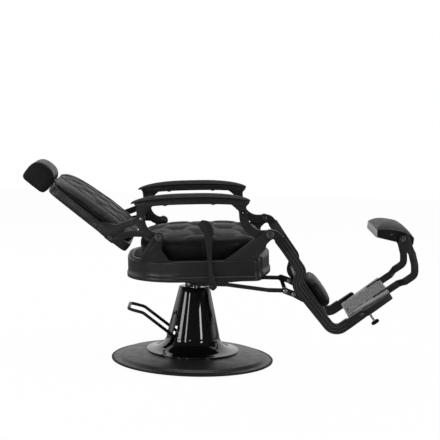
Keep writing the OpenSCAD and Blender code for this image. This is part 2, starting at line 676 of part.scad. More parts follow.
leg_out = leg_in + leg_t;
shin_top = [332, 171];
shin_start = [369, 114];
knee = [421, 34];
calf = [403, -27];
ankle = [548, -216];
plate_pivot = [655, -147];
ankle_r = 42;
leg_end = 68;           // reach of the leg bars beside the foot plate
plate_bolt_r = 9;
module leg(s) color(chassis) in_seat() side(s) difference() {
    union() {
        slab(link_in, link_out) {
            polygon(band(path([[front_pin[0] + 2, front_pin[1], 0], [front_pin[0] + 2,
                leg_pivot[1], 74], [leg_pivot[0] + 20, leg_pivot[1], 24],
                [shin_top[0] + 4, shin_top[1] - 6, 0]]), link_w));
            translate(front_pin) circle(r = link_w / 2 - 1);
            translate(leg_pivot) circle(r = ear_boss_r);
        }
        joggle(shin_top, shin_start, link_in, leg_in, leg_w, leg_t);
        slab(leg_in, leg_out) {
            polygon(band(path([[shin_start[0] - 3, shin_start[1] + 4, 0], [knee[0], knee[1], 26],
                [calf[0], calf[1], 26], [ankle[0], ankle[1], ankle_r],
                [plate_rear[0], plate_rear[1] - 14, 0]]), leg_w));
            polygon(loop([for (p = [[-12, 5.5, 0], [leg_end, 5.5, 11], [leg_end, -29, 11],
                [-12, -32, 0]]) [from_plate(p[0], p[1])[0], from_plate(p[0], p[1])[1], p[2]]]));
        }
    }
    bar_y(leg_pivot, bolt_r + clear / 2, 0, through);
    bar_y(front_pin, arm_pin_r, 0, through);
    bar_y(plate_pivot, screw_r, 0, through);
    bar_y(plate_pivot, plate_bolt_r + clear, leg_out - 4, through);
}
module leg_right() leg(-1);
module leg_left() leg(1);

module front_arm_pins() color(steel) in_seat() both() bar_y(front_pin, arm_pin_r, link_in,
    post_in + arm_post_t + 1);

upper_tube = [408, -8];
lower_tube = [510, -160];
tube_r = 10;
module cross_tubes() color(chassis) in_seat() for (p = [upper_tube, lower_tube])
    bar_y(p, tube_r, -leg_in, leg_in);

// The calf pad lies on a plate held by the two cross tubes
calf_slope = atan2(lower_tube[1] - upper_tube[1], lower_tube[0] - upper_tube[0]);
calf_l = norm(lower_tube - upper_tube);
calf_plate_t = 6;
calf_pad_l = 150;
module in_calf() in_seat() translate([upper_tube[0], 0, upper_tube[1]])
    rotate([0, -calf_slope, 0]) children();
module calf_plate() color("#77797b") in_calf() translate([-14, -calf_half_w + 12, tube_r])
    cube([calf_l + 28, 2 * calf_half_w - 24, calf_plate_t]);
module calf_pad() color(leather) in_calf()
    translate([calf_l / 2 + 11, 0, tube_r + calf_plate_t]) soft_pad(calf_pad_l / 2, calf_half_w,
        calf_pad_h, 4, 40, 9, 0, 0, 0);

yoke = [358, -50];
bracket_t = 9;
bracket_in = leg_in - 26;
bracket_bolt = [391, -63];
bracket_end = [428, -84];
module rod_brackets() color(chassis) in_seat() both() difference() {
    union() {
        slab(bracket_in, bracket_in + bracket_t) {
            polygon(band([yoke, bracket_bolt, bracket_end], 24));
            for (p = [yoke, bracket_end]) translate(p) circle(r = 12);
        }
        slab(bracket_in + bracket_t - seam, leg_in) translate(bracket_end) circle(r = 9);
    }
    bar_y(yoke, bolt_r + clear / 2, 0, through);
    bar_y(bracket_bolt, screw_r, 0, through);
}

module leg_bolts() color(steel) in_seat() both() {
    bar_y(bracket_bolt, screw_r, bracket_in - 5, bracket_in + bracket_t);
    bar_y(bracket_bolt, 9, bracket_in - 5, bracket_in);
    bar_y(bracket_bolt, 9, bracket_in + bracket_t, bracket_in + bracket_t + 5);
}

// ---- Push rods ---------------------------------------------------------------

push_t = 10;
push_out = bracket_in - clear;
push_mid_y = 39;
bend_front = [290, -47];
bend_rear = [122, -39.5];
push_rear = [-34, -32];
module push_rods() color(chassis) in_seat() both() difference() {
    union() {
        slab(push_out - push_t, push_out) {
            polygon(band([yoke, bend_front], push_h));
            translate(yoke) circle(r = 13);
        }
        joggle(bend_front + unit(yoke - bend_front) * 2, bend_rear, push_out - push_t, push_mid_y,
            push_h - seam, push_t);
        slab(push_mid_y, push_mid_y + push_t) polygon(band([bend_rear + unit(bend_front
            - bend_rear) * 2, push_rear], push_h));
    }
    bar_y(yoke, bolt_r, 0, through);
}
module yoke_pin() color(steel) in_seat() {
    bar_y(yoke, bolt_r, -bracket_in - bracket_t - 4, bracket_in + bracket_t + 4);
}

// ---- Footrest -----------------------------------------------------------------

plate_rear_w = 136;
plate_front_w = 177;
arm_lane = 115;
slot_rear = 121;
slot_gap = 1;
channel_in = 128;
module foot_plate() color("#8b8d8f") in_plate() difference() {
    union() {
        translate([0, 0, -plate_t]) linear_extrude(plate_t) polygon(loop([[0, -plate_rear_w, 10],
            [plate_l, -plate_front_w, 14], [plate_l, plate_front_w, 14], [0, plate_rear_w, 10]]));
        for (i = [0 : 12]) translate([10 + 14 * i, -arm_lane + 12, -seam])
            cube([6, 2 * arm_lane - 24, seam + 1.5]);
    }
    both() {
        translate([slot_rear, arm_lane - foot_arm_t / 2 - slot_gap, -plate_t - 1])
            cube([plate_l, foot_arm_t + 2 * slot_gap, plate_t + 4]);
        translate([plate_screw[0], plate_screw[1], -plate_t - 1]) cylinder(r = 3, h = plate_t + 2);
    }
}

// Channels under the plate guide the arms and bolt to the leg bars
channel_rear = 72;
guide_rear = 62;
channel_h = 27;
plate_screw = [26, 128];
guide_in = arm_lane - foot_arm_t / 2 - 9;
arm_proud = 6;
arm_low = arm_proud - foot_arm_w;
lug = to_plate(plate_pivot);
module plate_channels() color(chassis) in_plate() both() difference() {
    union() {
        slab(channel_in, leg_in - clear) polygon(loop([[channel_rear, -plate_t, 0],
            [plate_l - 2, -plate_t, 0], [plate_l - 2, -plate_t - channel_h + 4, 6],
            [channel_rear, -plate_t - channel_h, 10]]));
        slab(leg_in - 22, leg_in - clear) {
            polygon([[14, -plate_t], [channel_rear + 2, -plate_t],
                [channel_rear + 2, -plate_t - channel_h], [lug[0], lug[1] - 17],
                [14, -plate_t - 8]]);
            translate(lug) circle(r = 17);
        }
        slab(plate_screw[1] - 7, leg_in - 22 + seam) polygon([[14, -plate_t],
            [channel_rear + 2, -plate_t], [channel_rear + 2, -plate_t - channel_h + 2],
            [14, -plate_t - 8]]);
        translate([guide_rear, guide_in, -plate_t - channel_h + 2])
            cube([plate_l - 2 - guide_rear, channel_in - guide_in + seam, channel_h - 2]);
    }
    translate([0, arm_lane - foot_arm_t / 2 - clear, arm_low - clear])
        cube([300, foot_arm_t + 2 * clear, 60]);
    bar_y(lug, screw_r, 0, through);
    translate([screw_x, arm_lane, -80]) cylinder(r = clamp_r + clear / 2, h = 70);
    translate([plate_screw[0], plate_screw[1], -plate_t - 20]) cylinder(r = 3, h = 30);
    translate([-20, 0, -plate_t]) cube([400, 400, 40]);
}

module plate_bolts() color("#2a2a2b") {
    in_seat() both() {
        bar_y(plate_pivot, plate_bolt_r, leg_out - 4, leg_out - 1);
        bar_y(plate_pivot, screw_r, leg_in - 22, leg_out - 3);
    }
    in_plate() both() translate([plate_screw[0], plate_screw[1], 0]) {
        translate([0, 0, -plate_t - 6]) cylinder(r = 3, h = plate_t + 7);
        cylinder(r = 5, h = 2);
    }
}

foot_arm_in = arm_lane - foot_arm_t / 2;
arm_rear = 127;
arm_tail = 22;
arm_line = arm_proud - foot_arm_w / 2;
wide_lane = foot_half_w + clear;
wide_t = foot_arm_t + 1;
foot_boss_r = 17;
recess_r = 23;
recess = 4;
foot_pivot = [827, 144];
step_from = from_plate(plate_l + 50, arm_line);
step_to = from_plate(plate_l + 74, arm_line);
module foot_arm(s) color(chassis) in_seat() side(s) difference() {
    union() {
        slab(foot_arm_in, foot_arm_in + foot_arm_t) {
            polygon(band([from_plate(arm_rear, arm_line), step_from], foot_arm_w));
            polygon([from_plate(arm_tail, -plate_t - 2 * clear),
                from_plate(arm_rear + 4, -plate_t - 2 * clear),
                from_plate(arm_rear + 4, arm_low), from_plate(arm_tail, arm_low)]);
        }
        joggle(step_from - unit(step_to - step_from) * 2, step_to, foot_arm_in, wide_lane,
            foot_arm_w, foot_arm_t);
        slab(wide_lane, wide_lane + wide_t) {
            polygon(band(path([[step_to[0] - 2, step_to[1] - 1, 0], [873, 0, 28], [873, 40, 70],
                [862, 89, 0]]), foot_arm_w + 1));
            polygon(loop([[847, 84, 0], [828, 111, 8], [811, 128, 6], [811, 150, 6],
                [834, 161, 6], [851, 159, 10], [859, 134, 0], [868, 108, 0], [876, 90, 0]]));
            translate(foot_pivot) circle(r = foot_boss_r);
        }
        slab(wide_lane - recess, wide_lane + seam) translate(foot_pivot) circle(r = 14);
    }
    bar_y(foot_pivot, screw_r + clear / 2, 0, through);
}
module foot_arm_right() foot_arm(-1);
module foot_arm_left() foot_arm(1);

// The board: a shallow box, open below, whose cheeks hold the pivot bolts
pad_rear = 724;
pad_front = 873;
cheek_in = 132;
function foot_edge(x) = 183 - 38 * pow((x - pad_rear) / (pad_front - pad_rear), 3);
function edge_row(a, b, drop) = [for (i = [0 : 12]) let (x = a + (b - a) * i / 12)
    [x, foot_edge(x) - drop]];
foot_screw = [783, 162];
module foot_pad_board() color("#1d1d1e") in_seat() difference() {
    slab(-foot_half_w + 1, foot_half_w - 1) polygon(concat(edge_row(pad_rear, pad_front, 0),
        [[868, 119], [pad_rear + 71, 134], [pad_rear - 4, 154]]));
    slab(-cheek_in, cheek_in) polygon(concat(edge_row(pad_rear + 7, pad_front - 9, 12),
        [[pad_front - 14, 100], [pad_rear + 3, 100]]));
    both() {
        bar_y(foot_pivot, screw_r, 0, through);
        bar_y(foot_pivot, recess_r, foot_half_w - recess, through);
        bar_y(foot_screw, 2.5, 0, through);
    }
}

// The foot pad: a low crown over the board that falls to its long edges
foot_rows = 17;
foot_cols = 17;
function foot_base(t) = let (x = pad_rear + 1 + (pad_front - pad_rear - 2) * t)
    [x, foot_edge(x) + 0.2];
function foot_top(t, v) = let (b = foot_base(t),
        side = pow(max(0, 1 - pow(abs(v), 9)), 0.5),
        ends = pow(max(0, 1 - pow(abs(2 * t - 1), 3)), 0.55))
    b + [0, 1.8 + foot_pad_h * ends * side * (0.5 + 0.5 * (1 - v * v))];
module foot_pad() color(leather) in_seat() {
    n = foot_cols * foot_rows;
    top = [for (j = [0 : foot_rows - 1]) each [for (i = [0 : foot_cols - 1])
        let (v = -1 + 2 * j / (foot_rows - 1), p = foot_top(i / (foot_cols - 1), v))
        [p[0], foot_half_w * v, p[1]]]];
    low = [for (j = [0 : foot_rows - 1]) each [for (i = [0 : foot_cols - 1])
        let (v = -1 + 2 * j / (foot_rows - 1), p = foot_base(i / (foot_cols - 1)))
        [p[0], foot_half_w * v, p[1]]]];
    cells = [for (j = [0 : foot_rows - 2]) each [for (i = [0 : foot_cols - 2])
        let (a = j * foot_cols + i) [a, a + 1, a + foot_cols + 1, a + foot_cols]]];
    function_rim = concat([for (i = [0 : foot_cols - 2]) [i, i + 1]],
        [for (j = [0 : foot_rows - 2]) [j * foot_cols + foot_cols - 1,
            (j + 1) * foot_cols + foot_cols - 1]],
        [for (i = [foot_cols - 2 : -1 : 0]) [(foot_rows - 1) * foot_cols + i + 1,
            (foot_rows - 1) * foot_cols + i]],
        [for (j = [foot_rows - 2 : -1 : 0]) [(j + 1) * foot_cols, j * foot_cols]]);
    polyhedron(concat(top, low), concat(
        [for (c = cells) each [[c[0], c[2], c[1]], [c[0], c[3], c[2]]]],
        [for (c = cells) each [[c[0] + n, c[1] + n, c[2] + n], [c[0] + n, c[2] + n, c[3] + n]]],
        [for (e = function_rim) each [[e[0], e[1], e[1] + n], [e[0], e[1] + n, e[0] + n]]]),
        convexity = 4);
}

module foot_pad_bolts() color("#161617") in_seat() both() {
    bar_y(foot_pivot, screw_r, cheek_in, wide_lane + wide_t + 1);
    bolt_head(foot_pivot, 11, wide_lane + wide_t, 5);
    bar_y(foot_screw, 2.5, cheek_in + 2, foot_half_w - 0.5);
    bar_y(foot_screw, 5, foot_half_w - 1, foot_half_w + 1);
}

// Clamp knobs: a screw through each channel that grips the foot arm
screw_x = 78;
clamp_r = 5;
screw_top = arm_low - clear;
screw_l = 70;
module clamp_knob(s) in_plate() side(s) translate([screw_x, arm_lane, screw_top]) {
    color(steel) translate([0, 0, -screw_l]) cylinder(r = clamp_r, h = screw_l);
    color("#0e0e0e") translate([0, 0, -screw_l]) rotate_extrude() polygon([[0, 0],
        [knob_d / 2 - 2, 0], [knob_d / 2, 2], [knob_d / 2, 8], [knob_d / 2 - 3, 11], [8, 12],
        [0, 12]]);
}
module clamp_knob_right() clamp_knob(-1);
module clamp_knob_left() clamp_knob(1);

base_plate();
base_edge_ring();
cone_cover();
pump_cylinder();
pump_block();
pedal_shaft();
base_bolts();
pump_pedal();
piston_rod();
swivel_bearing();
lock_box();
mount_bolts();
seat_pan();
seat_rails();
seat_board();
seat_cushion();
rear_ears();
front_ears();
pivot_bolts();
recline_lever();
lever_shaft();
back_bracket_right();
back_bracket_left();
back_shell();
back_cushion();
bracket_screws();
arm_pins();
headrest_post();
headrest_pad();
arm_rail_right();
arm_rail_left();
arm_pad_right();
arm_pad_left();
pad_screws();
pad_screws_left();
leg_right();
leg_left();
front_arm_pins();
cross_tubes();
calf_plate();
calf_pad();
rod_brackets();
leg_bolts();
push_rods();
yoke_pin();
foot_plate();
plate_channels();
plate_bolts();
foot_arm_right();
foot_arm_left();
foot_pad_board();
foot_pad();
foot_pad_bolts();
clamp_knob_right();
clamp_knob_left();
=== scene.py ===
import math

import bmesh
import bpy
from mathutils import Matrix, Vector


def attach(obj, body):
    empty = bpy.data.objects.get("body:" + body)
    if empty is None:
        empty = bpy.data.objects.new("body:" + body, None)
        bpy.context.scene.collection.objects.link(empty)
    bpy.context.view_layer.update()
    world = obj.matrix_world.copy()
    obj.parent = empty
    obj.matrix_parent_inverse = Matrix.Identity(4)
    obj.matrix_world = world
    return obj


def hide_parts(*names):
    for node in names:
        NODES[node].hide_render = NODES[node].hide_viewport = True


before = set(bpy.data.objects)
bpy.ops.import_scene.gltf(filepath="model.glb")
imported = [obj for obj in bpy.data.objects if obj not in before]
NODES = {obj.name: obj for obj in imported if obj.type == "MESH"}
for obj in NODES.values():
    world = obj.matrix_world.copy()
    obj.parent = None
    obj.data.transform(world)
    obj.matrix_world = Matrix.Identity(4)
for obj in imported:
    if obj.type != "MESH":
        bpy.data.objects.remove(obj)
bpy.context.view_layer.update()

MM = 0.001

# ---- Driving places, in millimetres and degrees of the seat's own tilted frame ---------

SEAT_Z = 359
SEAT_TILT = 3
BACK_LEAN = 50.2
REAR_PIN = (-200, 263)
FRONT_PIN = (194, 277)
PLATE_REAR = (607, -163)
PLATE_RISE = 33


def seat_frame():
    """The seat frame as a matrix in metres: it leans back with the seat."""
    lift = Matrix.Translation((0, 0, SEAT_Z * MM))
    return lift @ Matrix.Rotation(math.radians(-SEAT_TILT), 4, "Y")


def back_frame():
    """Local Z runs up the backrest and local X faces the sitter."""
    return seat_frame() @ Matrix.Rotation(math.radians(-BACK_LEAN), 4, "Y")


def plate_frame():
    """Local X runs up the foot plate and local Z is its face."""
    place = Matrix.Translation((PLATE_REAR[0] * MM, 0, PLATE_REAR[1] * MM))
    return seat_frame() @ place @ Matrix.Rotation(math.radians(-PLATE_RISE), 4, "Y")


# ---- Small modelling helpers ------------------------------------------------------------

SHARP_EDGE = 32


def only(obj):
    """Deselects everything, then selects obj and makes it active."""
    bpy.ops.object.select_all(action="DESELECT")
    obj.select_set(True)
    bpy.context.view_layer.objects.active = obj


def add_object(name, mesh):
    obj = bpy.data.objects.new(name, mesh)
    bpy.context.scene.collection.objects.link(obj)
    return obj


def apply_modifiers(obj):
    only(obj)
    for modifier in list(obj.modifiers):
        bpy.ops.object.modifier_apply(modifier=modifier.name)


def modify(obj, name, kind, **settings):
    """Adds one modifier with these settings and applies it."""
    modifier = obj.modifiers.new(name, kind)
    for setting, value in settings.items():
        setattr(modifier, setting, value)
    apply_modifiers(obj)


def smooth(obj, angle):
    only(obj)
    bpy.ops.object.shade_smooth_by_angle(angle=math.radians(angle))


def settle(obj):
    """Moves the object's place into its mesh."""
    only(obj)
    bpy.ops.object.transform_apply(location=True, rotation=True, scale=True)


def edit(obj, mode="VERT"):
    only(obj)
    bpy.ops.object.mode_set(mode="EDIT")
    bpy.ops.mesh.select_mode(type=mode)


def object_mode():
    bpy.ops.object.mode_set(mode="OBJECT")


def outward(obj):
    """Turns all faces outwards."""
    edit(obj)
    bpy.ops.mesh.select_all(action="SELECT")
    bpy.ops.mesh.normals_make_consistent(inside=False)
    object_mode()


def weld(obj, gap=0.00001, flat=None):
    """Merges doubles, makes whole what is flat within an angle, and turns faces outwards."""
    edit(obj)
    bpy.ops.mesh.select_all(action="SELECT")
    bpy.ops.mesh.remove_doubles(threshold=gap)
    if flat:
        bpy.ops.mesh.dissolve_limited(angle_limit=math.radians(flat))
    object_mode()
    outward(obj)


def give(obj, material, body):
    """Sets the piece's finish, unless it has its own already, and what it rides on."""
    if material:
        obj.data.materials.clear()
        obj.data.materials.append(material)
    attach(obj, body)
    return obj


def merged_copy(node, name):
    """A welded copy of a CAD node, with its flat faces made whole."""
    mesh = NODES[node].data.copy()
    obj = add_object(name, mesh)
    mesh.materials.clear()
    weld(obj, 0.00002, 0.6)
    if mesh.has_custom_normals:
        bpy.ops.mesh.customdata_custom_splitnormals_clear()
    return obj


def bevel(obj, width, segments):
    """Rounds every edge that turns by more than SHARP_EDGE degrees."""
    modify(obj, "edge", "BEVEL", width=width, segments=segments, limit_method="ANGLE",
           angle_limit=math.radians(SHARP_EDGE), use_clamp_overlap=True, harden_normals=False)


def refine(node, name, body, material, width, segments):
    """A rigid CAD node with its edges rounded."""
    obj = merged_copy(node, name)
    if width:
        bevel(obj, width, segments)
    smooth(obj, 38)
    give(obj, material, body)
    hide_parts(node)
    return obj


def cord_loop(name, points, radius, closed=True):
    """A sewn-in cord: a round section swept along the points."""
    curve = bpy.data.curves.new(name, "CURVE")
    curve.dimensions = "3D"
    curve.bevel_depth = radius
    curve.bevel_resolution = 3
    spline = curve.splines.new("POLY")
    spline.points.add(len(points) - 1)
    for item, point in zip(spline.points, points):
        item.co = (*point, 1)
    spline.use_cyclic_u = closed
    curve.use_fill_caps = not closed
    obj = bpy.data.objects.new(name, curve)
    bpy.context.scene.collection.objects.link(obj)
    only(obj)
    bpy.ops.object.convert(target="MESH")
    obj = bpy.context.object
    weld(obj)
    return obj


def join(pieces):
    bpy.ops.object.select_all(action="DESELECT")
    for piece in pieces:
        piece.select_set(True)
    bpy.context.view_layer.objects.active = pieces[0]
    bpy.ops.object.join()
    return bpy.context.object


# ---- Materials ---------------------------------------------------------------------------

def new_material(name, base, metallic, specular):
    material = bpy.data.materials.new(name)
    material.use_nodes = True
    shader = material.node_tree.nodes["Principled BSDF"]
    shader.inputs["Base Color"].default_value = (*base, 1)
    shader.inputs["Metallic"].default_value = metallic
    shader.inputs["Specular IOR Level"].default_value = specular
    return material, material.node_tree, shader


def add(tree, kind, **values):
    node = tree.nodes.new(kind)
    for key, value in values.items():
        if key in node.inputs:
            node.inputs[key].default_value = value
        else:
            setattr(node, key, value)
    return node


def place(tree, scale=(1, 1, 1)):
    """Object coordinates, stretched by scale."""
    coordinate = add(tree, "ShaderNodeTexCoord")
    mapping = add(tree, "ShaderNodeMapping")
    mapping.inputs["Scale"].default_value = scale
    tree.links.new(coordinate.outputs["Object"], mapping.inputs["Vector"])
    return mapping.outputs["Vector"]


def noise(tree, vector, scale, detail=3.0, rough=0.5):
    node = add(tree, "ShaderNodeTexNoise", Scale=scale, Detail=detail, Roughness=rough)
    tree.links.new(vector, node.inputs["Vector"])
    return node.outputs["Fac"]


def spread(tree, value, low, high, start=0.3, end=0.7):
    """Maps a value from start..end to low..high."""
    node = add(tree, "ShaderNodeMapRange")
    node.inputs["From Min"].default_value = start
    node.inputs["From Max"].default_value = end
    node.inputs["To Min"].default_value = low
    node.inputs["To Max"].default_value = high
    tree.links.new(value, node.inputs["Value"])
    return node.outputs["Result"]


def two_tone(tree, shader, value, dark, light):
    ramp = add(tree, "ShaderNodeValToRGB")
    ramp.color_ramp.elements[0].position = 0.3
    ramp.color_ramp.elements[0].color = (*dark, 1)
    ramp.color_ramp.elements[1].position = 0.7
    ramp.color_ramp.elements[1].color = (*light, 1)
    tree.links.new(value, ramp.inputs["Fac"])
    tree.links.new(ramp.outputs["Color"], shader.inputs["Base Color"])
    return ramp


def bumped(tree, shader, height, strength, distance, before=None):
    bump = add(tree, "ShaderNodeBump", Strength=strength, Distance=distance)
    tree.links.new(height, bump.inputs["Height"])
    if before:
        tree.links.new(before, bump.inputs["Normal"])
    tree.links.new(bump.outputs["Normal"], shader.inputs["Normal"])
    return bump.outputs["Normal"]


def grey(level, blue=None):
    return (level, level, blue or level)


def finish(name, dark, light, tone, wear, rough, relief, specular=0.3, metallic=0.0,
           stretch=(1, 1, 1)):
    """Two tones in clouds, worn from one roughness to another, over a fine relief.

    tone and wear are (scale, detail), and relief is (scale, detail, strength, depth).
    """
    material, tree, shader = new_material(name, dark, metallic, specular)
    vector = place(tree, stretch)
    two_tone(tree, shader, noise(tree, vector, *tone), dark, light)
    tree.links.new(spread(tree, noise(tree, vector, *wear), *rough), shader.inputs["Roughness"])
    scale, detail, strength, depth = relief
    bumped(tree, shader, noise(tree, vector, scale, detail), strength, depth)
    return material


def powder_coat(name, dark, light, rough, specular, grain=900, relief=0.2):
    """Powder coat: an even orange-peel skin with faint cloudy wear."""
    return finish(name, dark, light, (9, 4), (30, 5), (rough - 0.06, rough + 0.06),
                  (grain, 2, relief, 0.0003), specular)


def gloss_paint():
    """Gloss paint under a clear coat."""
    material = finish("gloss_black", grey(0.0028, 0.003), grey(0.0048, 0.005), (6, 3), (40, 6),
                      (0.05, 0.1), (60, 2, 0.04, 0.0004), 0.5)
    shader = material.node_tree.nodes["Principled BSDF"]
    shader.inputs["Coat Weight"].default_value = 0.5
    shader.inputs["Coat Roughness"].default_value = 0.04
    return material


def leather(name, dark=grey(0.0040, 0.0042), light=grey(0.0070, 0.0072), rough=0.42, specular=0.24):
    """Leather: a pebbled grain of cells over long soft wrinkles."""
    material, tree, shader = new_material(name, dark, 0, specular)
    shader.inputs["Sheen Weight"].default_value = 0.02
    shader.inputs["Sheen Roughness"].default_value = 0.5
    vector = place(tree)
    cells = add(tree, "ShaderNodeTexVoronoi", Scale=620.0, feature="DISTANCE_TO_EDGE")
    tree.links.new(vector, cells.inputs["Vector"])
    wrinkle = noise(tree, place(tree, (1, 1.6, 1)), 26, 6, 0.62)
    two_tone(tree, shader, noise(tree, vector, 14, 5), dark, light)
    tree.links.new(spread(tree, noise(tree, vector, 55, 5), rough - 0.07, rough + 0.08),
                   shader.inputs["Roughness"])
    grain = bumped(tree, shader, cells.outputs["Distance"], 0.09, 0.0004)
    bumped(tree, shader, wrinkle, 0.12, 0.0012, grain)
    return material


def steel(name, tint, rough, brushed=(1, 1, 1)):
    """Bare or plated steel with fine streaks."""
    material, tree, shader = new_material(name, tint, 1.0, 0.5)
    vector = place(tree, brushed)
    streak = noise(tree, vector, 240, 4)
    two_tone(tree, shader, streak, tuple(0.82 * c for c in tint), tint)
    tree.links.new(spread(tree, streak, rough - 0.08, rough + 0.1), shader.inputs["Roughness"])
    bumped(tree, shader, streak, 0.12, 0.0002)
    return material


CAST_ROUGH = (0.38, 0.62)


def cast_grey(name, dark, light):
    """Grey cast metal with a coarse pitted skin, in two tones spread at random."""
    material, tree, shader = new_material(name, dark, 0.35, 0.4)
    vector = place(tree)
    two_tone(tree, shader, noise(tree, vector, 130, 6, 0.6), dark, light)
    tree.links.new(spread(tree, noise(tree, vector, 200, 4), *CAST_ROUGH),
                   shader.inputs["Roughness"])
    pits = add(tree, "ShaderNodeTexVoronoi", Scale=210.0, feature="SMOOTH_F1")
    tree.links.new(vector, pits.inputs["Vector"])
    bumped(tree, shader, pits.outputs["Distance"], 0.6, 0.0016)
    return material


def height_along(tree, where, axis):
    """How far points lie along a direction."""
    along = add(tree, "ShaderNodeVectorMath", operation="DOT_PRODUCT")
    along.inputs[1].default_value = axis
    tree.links.new(where, along.inputs[0])
    return along.outputs["Value"]


TREAD_RISE = 0.0026


def cast_tread_painted_shade():
    """Cast grey with painted shade, near black, in the hollows between the raised lines, and a
    light plain rim.
    """
    material, tree, shader = new_material("cast_tread_painted_shade", grey(0.2), 0.35, 0.4)
    up = plate_frame().col[2].xyz
    face = plate_frame().translation.dot(up)
    vector = place(tree)
    height = spread(tree, height_along(tree, vector, up), 0, 1, face, face + TREAD_RISE)
    ramp = two_tone(tree, shader, height, grey(0.26, 0.262), grey(0.34, 0.342)).color_ramp
    ramp.elements[0].position = 0.04
    ramp.elements[1].position = 0.85
    # The two near-black stops at low heights are painted shade in the hollows between the raised
    # lines.
    for position, tone in ((0.10, 0.015), (0.5, 0.025)):
        ramp.elements.new(position).color = (*grey(tone), 1)
    tree.links.new(spread(tree, noise(tree, vector, 200, 4), *CAST_ROUGH),
                   shader.inputs["Roughness"])
    bumped(tree, shader, noise(tree, vector, 300, 4), 0.12, 0.0004)
    return material


KNOB_NECK = 0.0801


def knob_level(tree, where):
    """The height of a point along the knob's screw, and where its steel begins."""
    up = plate_frame().col[2].xyz
    return height_along(tree, where, up), plate_frame().translation.dot(up) - KNOB_NECK


YOKE_END = 0.150


def yoke_reach(tree, where):
    """How far a point is to the side of the middle, and where the pin's bright end begins."""
    split = add(tree, "ShaderNodeSeparateXYZ")
    side = add(tree, "ShaderNodeMath", operation="ABSOLUTE")
    tree.links.new(where, split.inputs["Vector"])
    tree.links.new(split.outputs["Y"], side.inputs[0])
    return side.outputs["Value"], YOKE_END


BOARD_REAR = (726.2, 165)


def board_end(tree, where):
    """How far a point is toward the rear of the foot board, and where its end face lies, the face
    that is painted light grey as a highlight.
    """
    back_way = seat_frame().col[0].xyz * -1
    corner = seat_frame() @ Vector((BOARD_REAR[0] * MM, 0, BOARD_REAR[1] * MM))
    return height_along(tree, where, back_way), corner.dot(back_way)


def near_axis(spot, radius):
    """Minus the distance to a cross axis through a point of the seat frame, in millimetres."""
    def measure(tree, where):
        shift = add(tree, "ShaderNodeVectorMath", operation="SUBTRACT")
        shift.inputs[1].default_value = seat_frame() @ Vector((spot[0] * MM, 0, spot[1] * MM))
        flat = add(tree, "ShaderNodeVectorMath", operation="MULTIPLY")
        flat.inputs[1].default_value = (1, 0, 1)
        size = add(tree, "ShaderNodeVectorMath", operation="LENGTH")
        turned = add(tree, "ShaderNodeMath", operation="MULTIPLY")
        turned.inputs[1].default_value = -1
        tree.links.new(where, shift.inputs[0])
        tree.links.new(shift.outputs["Vector"], flat.inputs[0])
        tree.links.new(flat.outputs["Vector"], size.inputs[0])
        tree.links.new(size.outputs["Value"], turned.inputs[0])
        return turned.outputs["Value"], -radius * MM
    return measure


def two_part(name, measure, light=grey(0.68, 0.67), metallic=1.0, rough=0.24, specular=0.2):
    """Black, turning to a bright part where the measure passes its level."""
    material, tree, shader = new_material(name, grey(0.01), 0, specular)
    vector = place(tree)
    value, level = measure(tree, vector)
    bright = spread(tree, value, 0.0, 1.0, level - 0.0002, level + 0.0002)
    shade = two_tone(tree, shader, noise(tree, vector, 80, 4), grey(0.005), grey(0.009))
    mix = add(tree, "ShaderNodeMixRGB")
    mix.inputs["Color2"].default_value = (*light, 1)
    tree.links.new(bright, mix.inputs["Fac"])
    tree.links.new(shade.outputs["Color"], mix.inputs["Color1"])
    tree.links.new(mix.outputs["Color"], shader.inputs["Base Color"])
    tree.links.new(spread(tree, bright, 0.0, metallic, 0, 1), shader.inputs["Metallic"])
    tree.links.new(spread(tree, bright, 0.6, rough, 0, 1), shader.inputs["Roughness"])
    bumped(tree, shader, noise(tree, vector, 700, 2), 0.05, 0.0002)
    return material


BLACK_COAT = powder_coat("black_powder_coat", grey(0.011, 0.0112), grey(0.016, 0.0163), 0.38, 0.42)
SATIN_BLACK = powder_coat("satin_black", grey(0.0125, 0.013), grey(0.018, 0.0185), 0.36, 0.5,
                          1100, 0.1)
DARK_OXIDE = powder_coat("black_oxide", grey(0.012), grey(0.02), 0.33, 0.45, 1500)
PAN_COAT = powder_coat("satin_black_pan", grey(0.0085, 0.0088), grey(0.0125, 0.0128), 0.36, 0.45,
                       1100, 0.1)
SHELL_COAT = powder_coat("satin_black_shell", grey(0.0100, 0.0104), grey(0.014, 0.0144), 0.34, 0.5,
                         1100, 0.008)
# The ridges' coat is lighter than the black coat: painted highlight along the leg's cast lines.
RIDGE_PAINTED_HIGHLIGHT = powder_coat("black_ridge_painted_highlight", grey(0.035, 0.036), grey(0.06, 0.061), 0.36, 0.5)
GLOSS_BLACK = gloss_paint()
RUBBER = finish("edge_rubber", grey(0.006), grey(0.013), (50, 5), (90, 4), (0.52, 0.72),
                (500, 3, 0.2, 0.0003))
IRON = finish("pump_casting", grey(0.06, 0.062), grey(0.12, 0.123), (90, 5), (120, 4), (0.45, 0.65),
              (300, 4, 0.35, 0.0006), 0.4, 0.3)
BOARD = finish("black_stained_board", (0.007, 0.0065, 0.006), (0.016, 0.015, 0.014), (8, 5),
               (30, 3), (0.5, 0.7), (60, 4, 0.2, 0.0005), stretch=(1, 1, 260))
LEATHER = leather("black_leather")
ARM_LEATHER = leather("black_leather_pads", rough=0.48)
# The welts' leather is about ten times lighter than the black leather: painted highlight along the
# welts.
WELT_LEATHER_PAINTED_HIGHLIGHT = leather("black_leather_welts_painted_highlight", grey(0.050, 0.0504), grey(0.075, 0.0755), 0.36, 0.5)
BOLT_STEEL = steel("dark_steel", grey(0.16, 0.162), 0.36)
ZINC = steel("zinc_plate", grey(0.6, 0.58), 0.34)
BRIGHT_STEEL = steel("bright_steel", grey(0.72, 0.71), 0.2, (1, 1, 30))
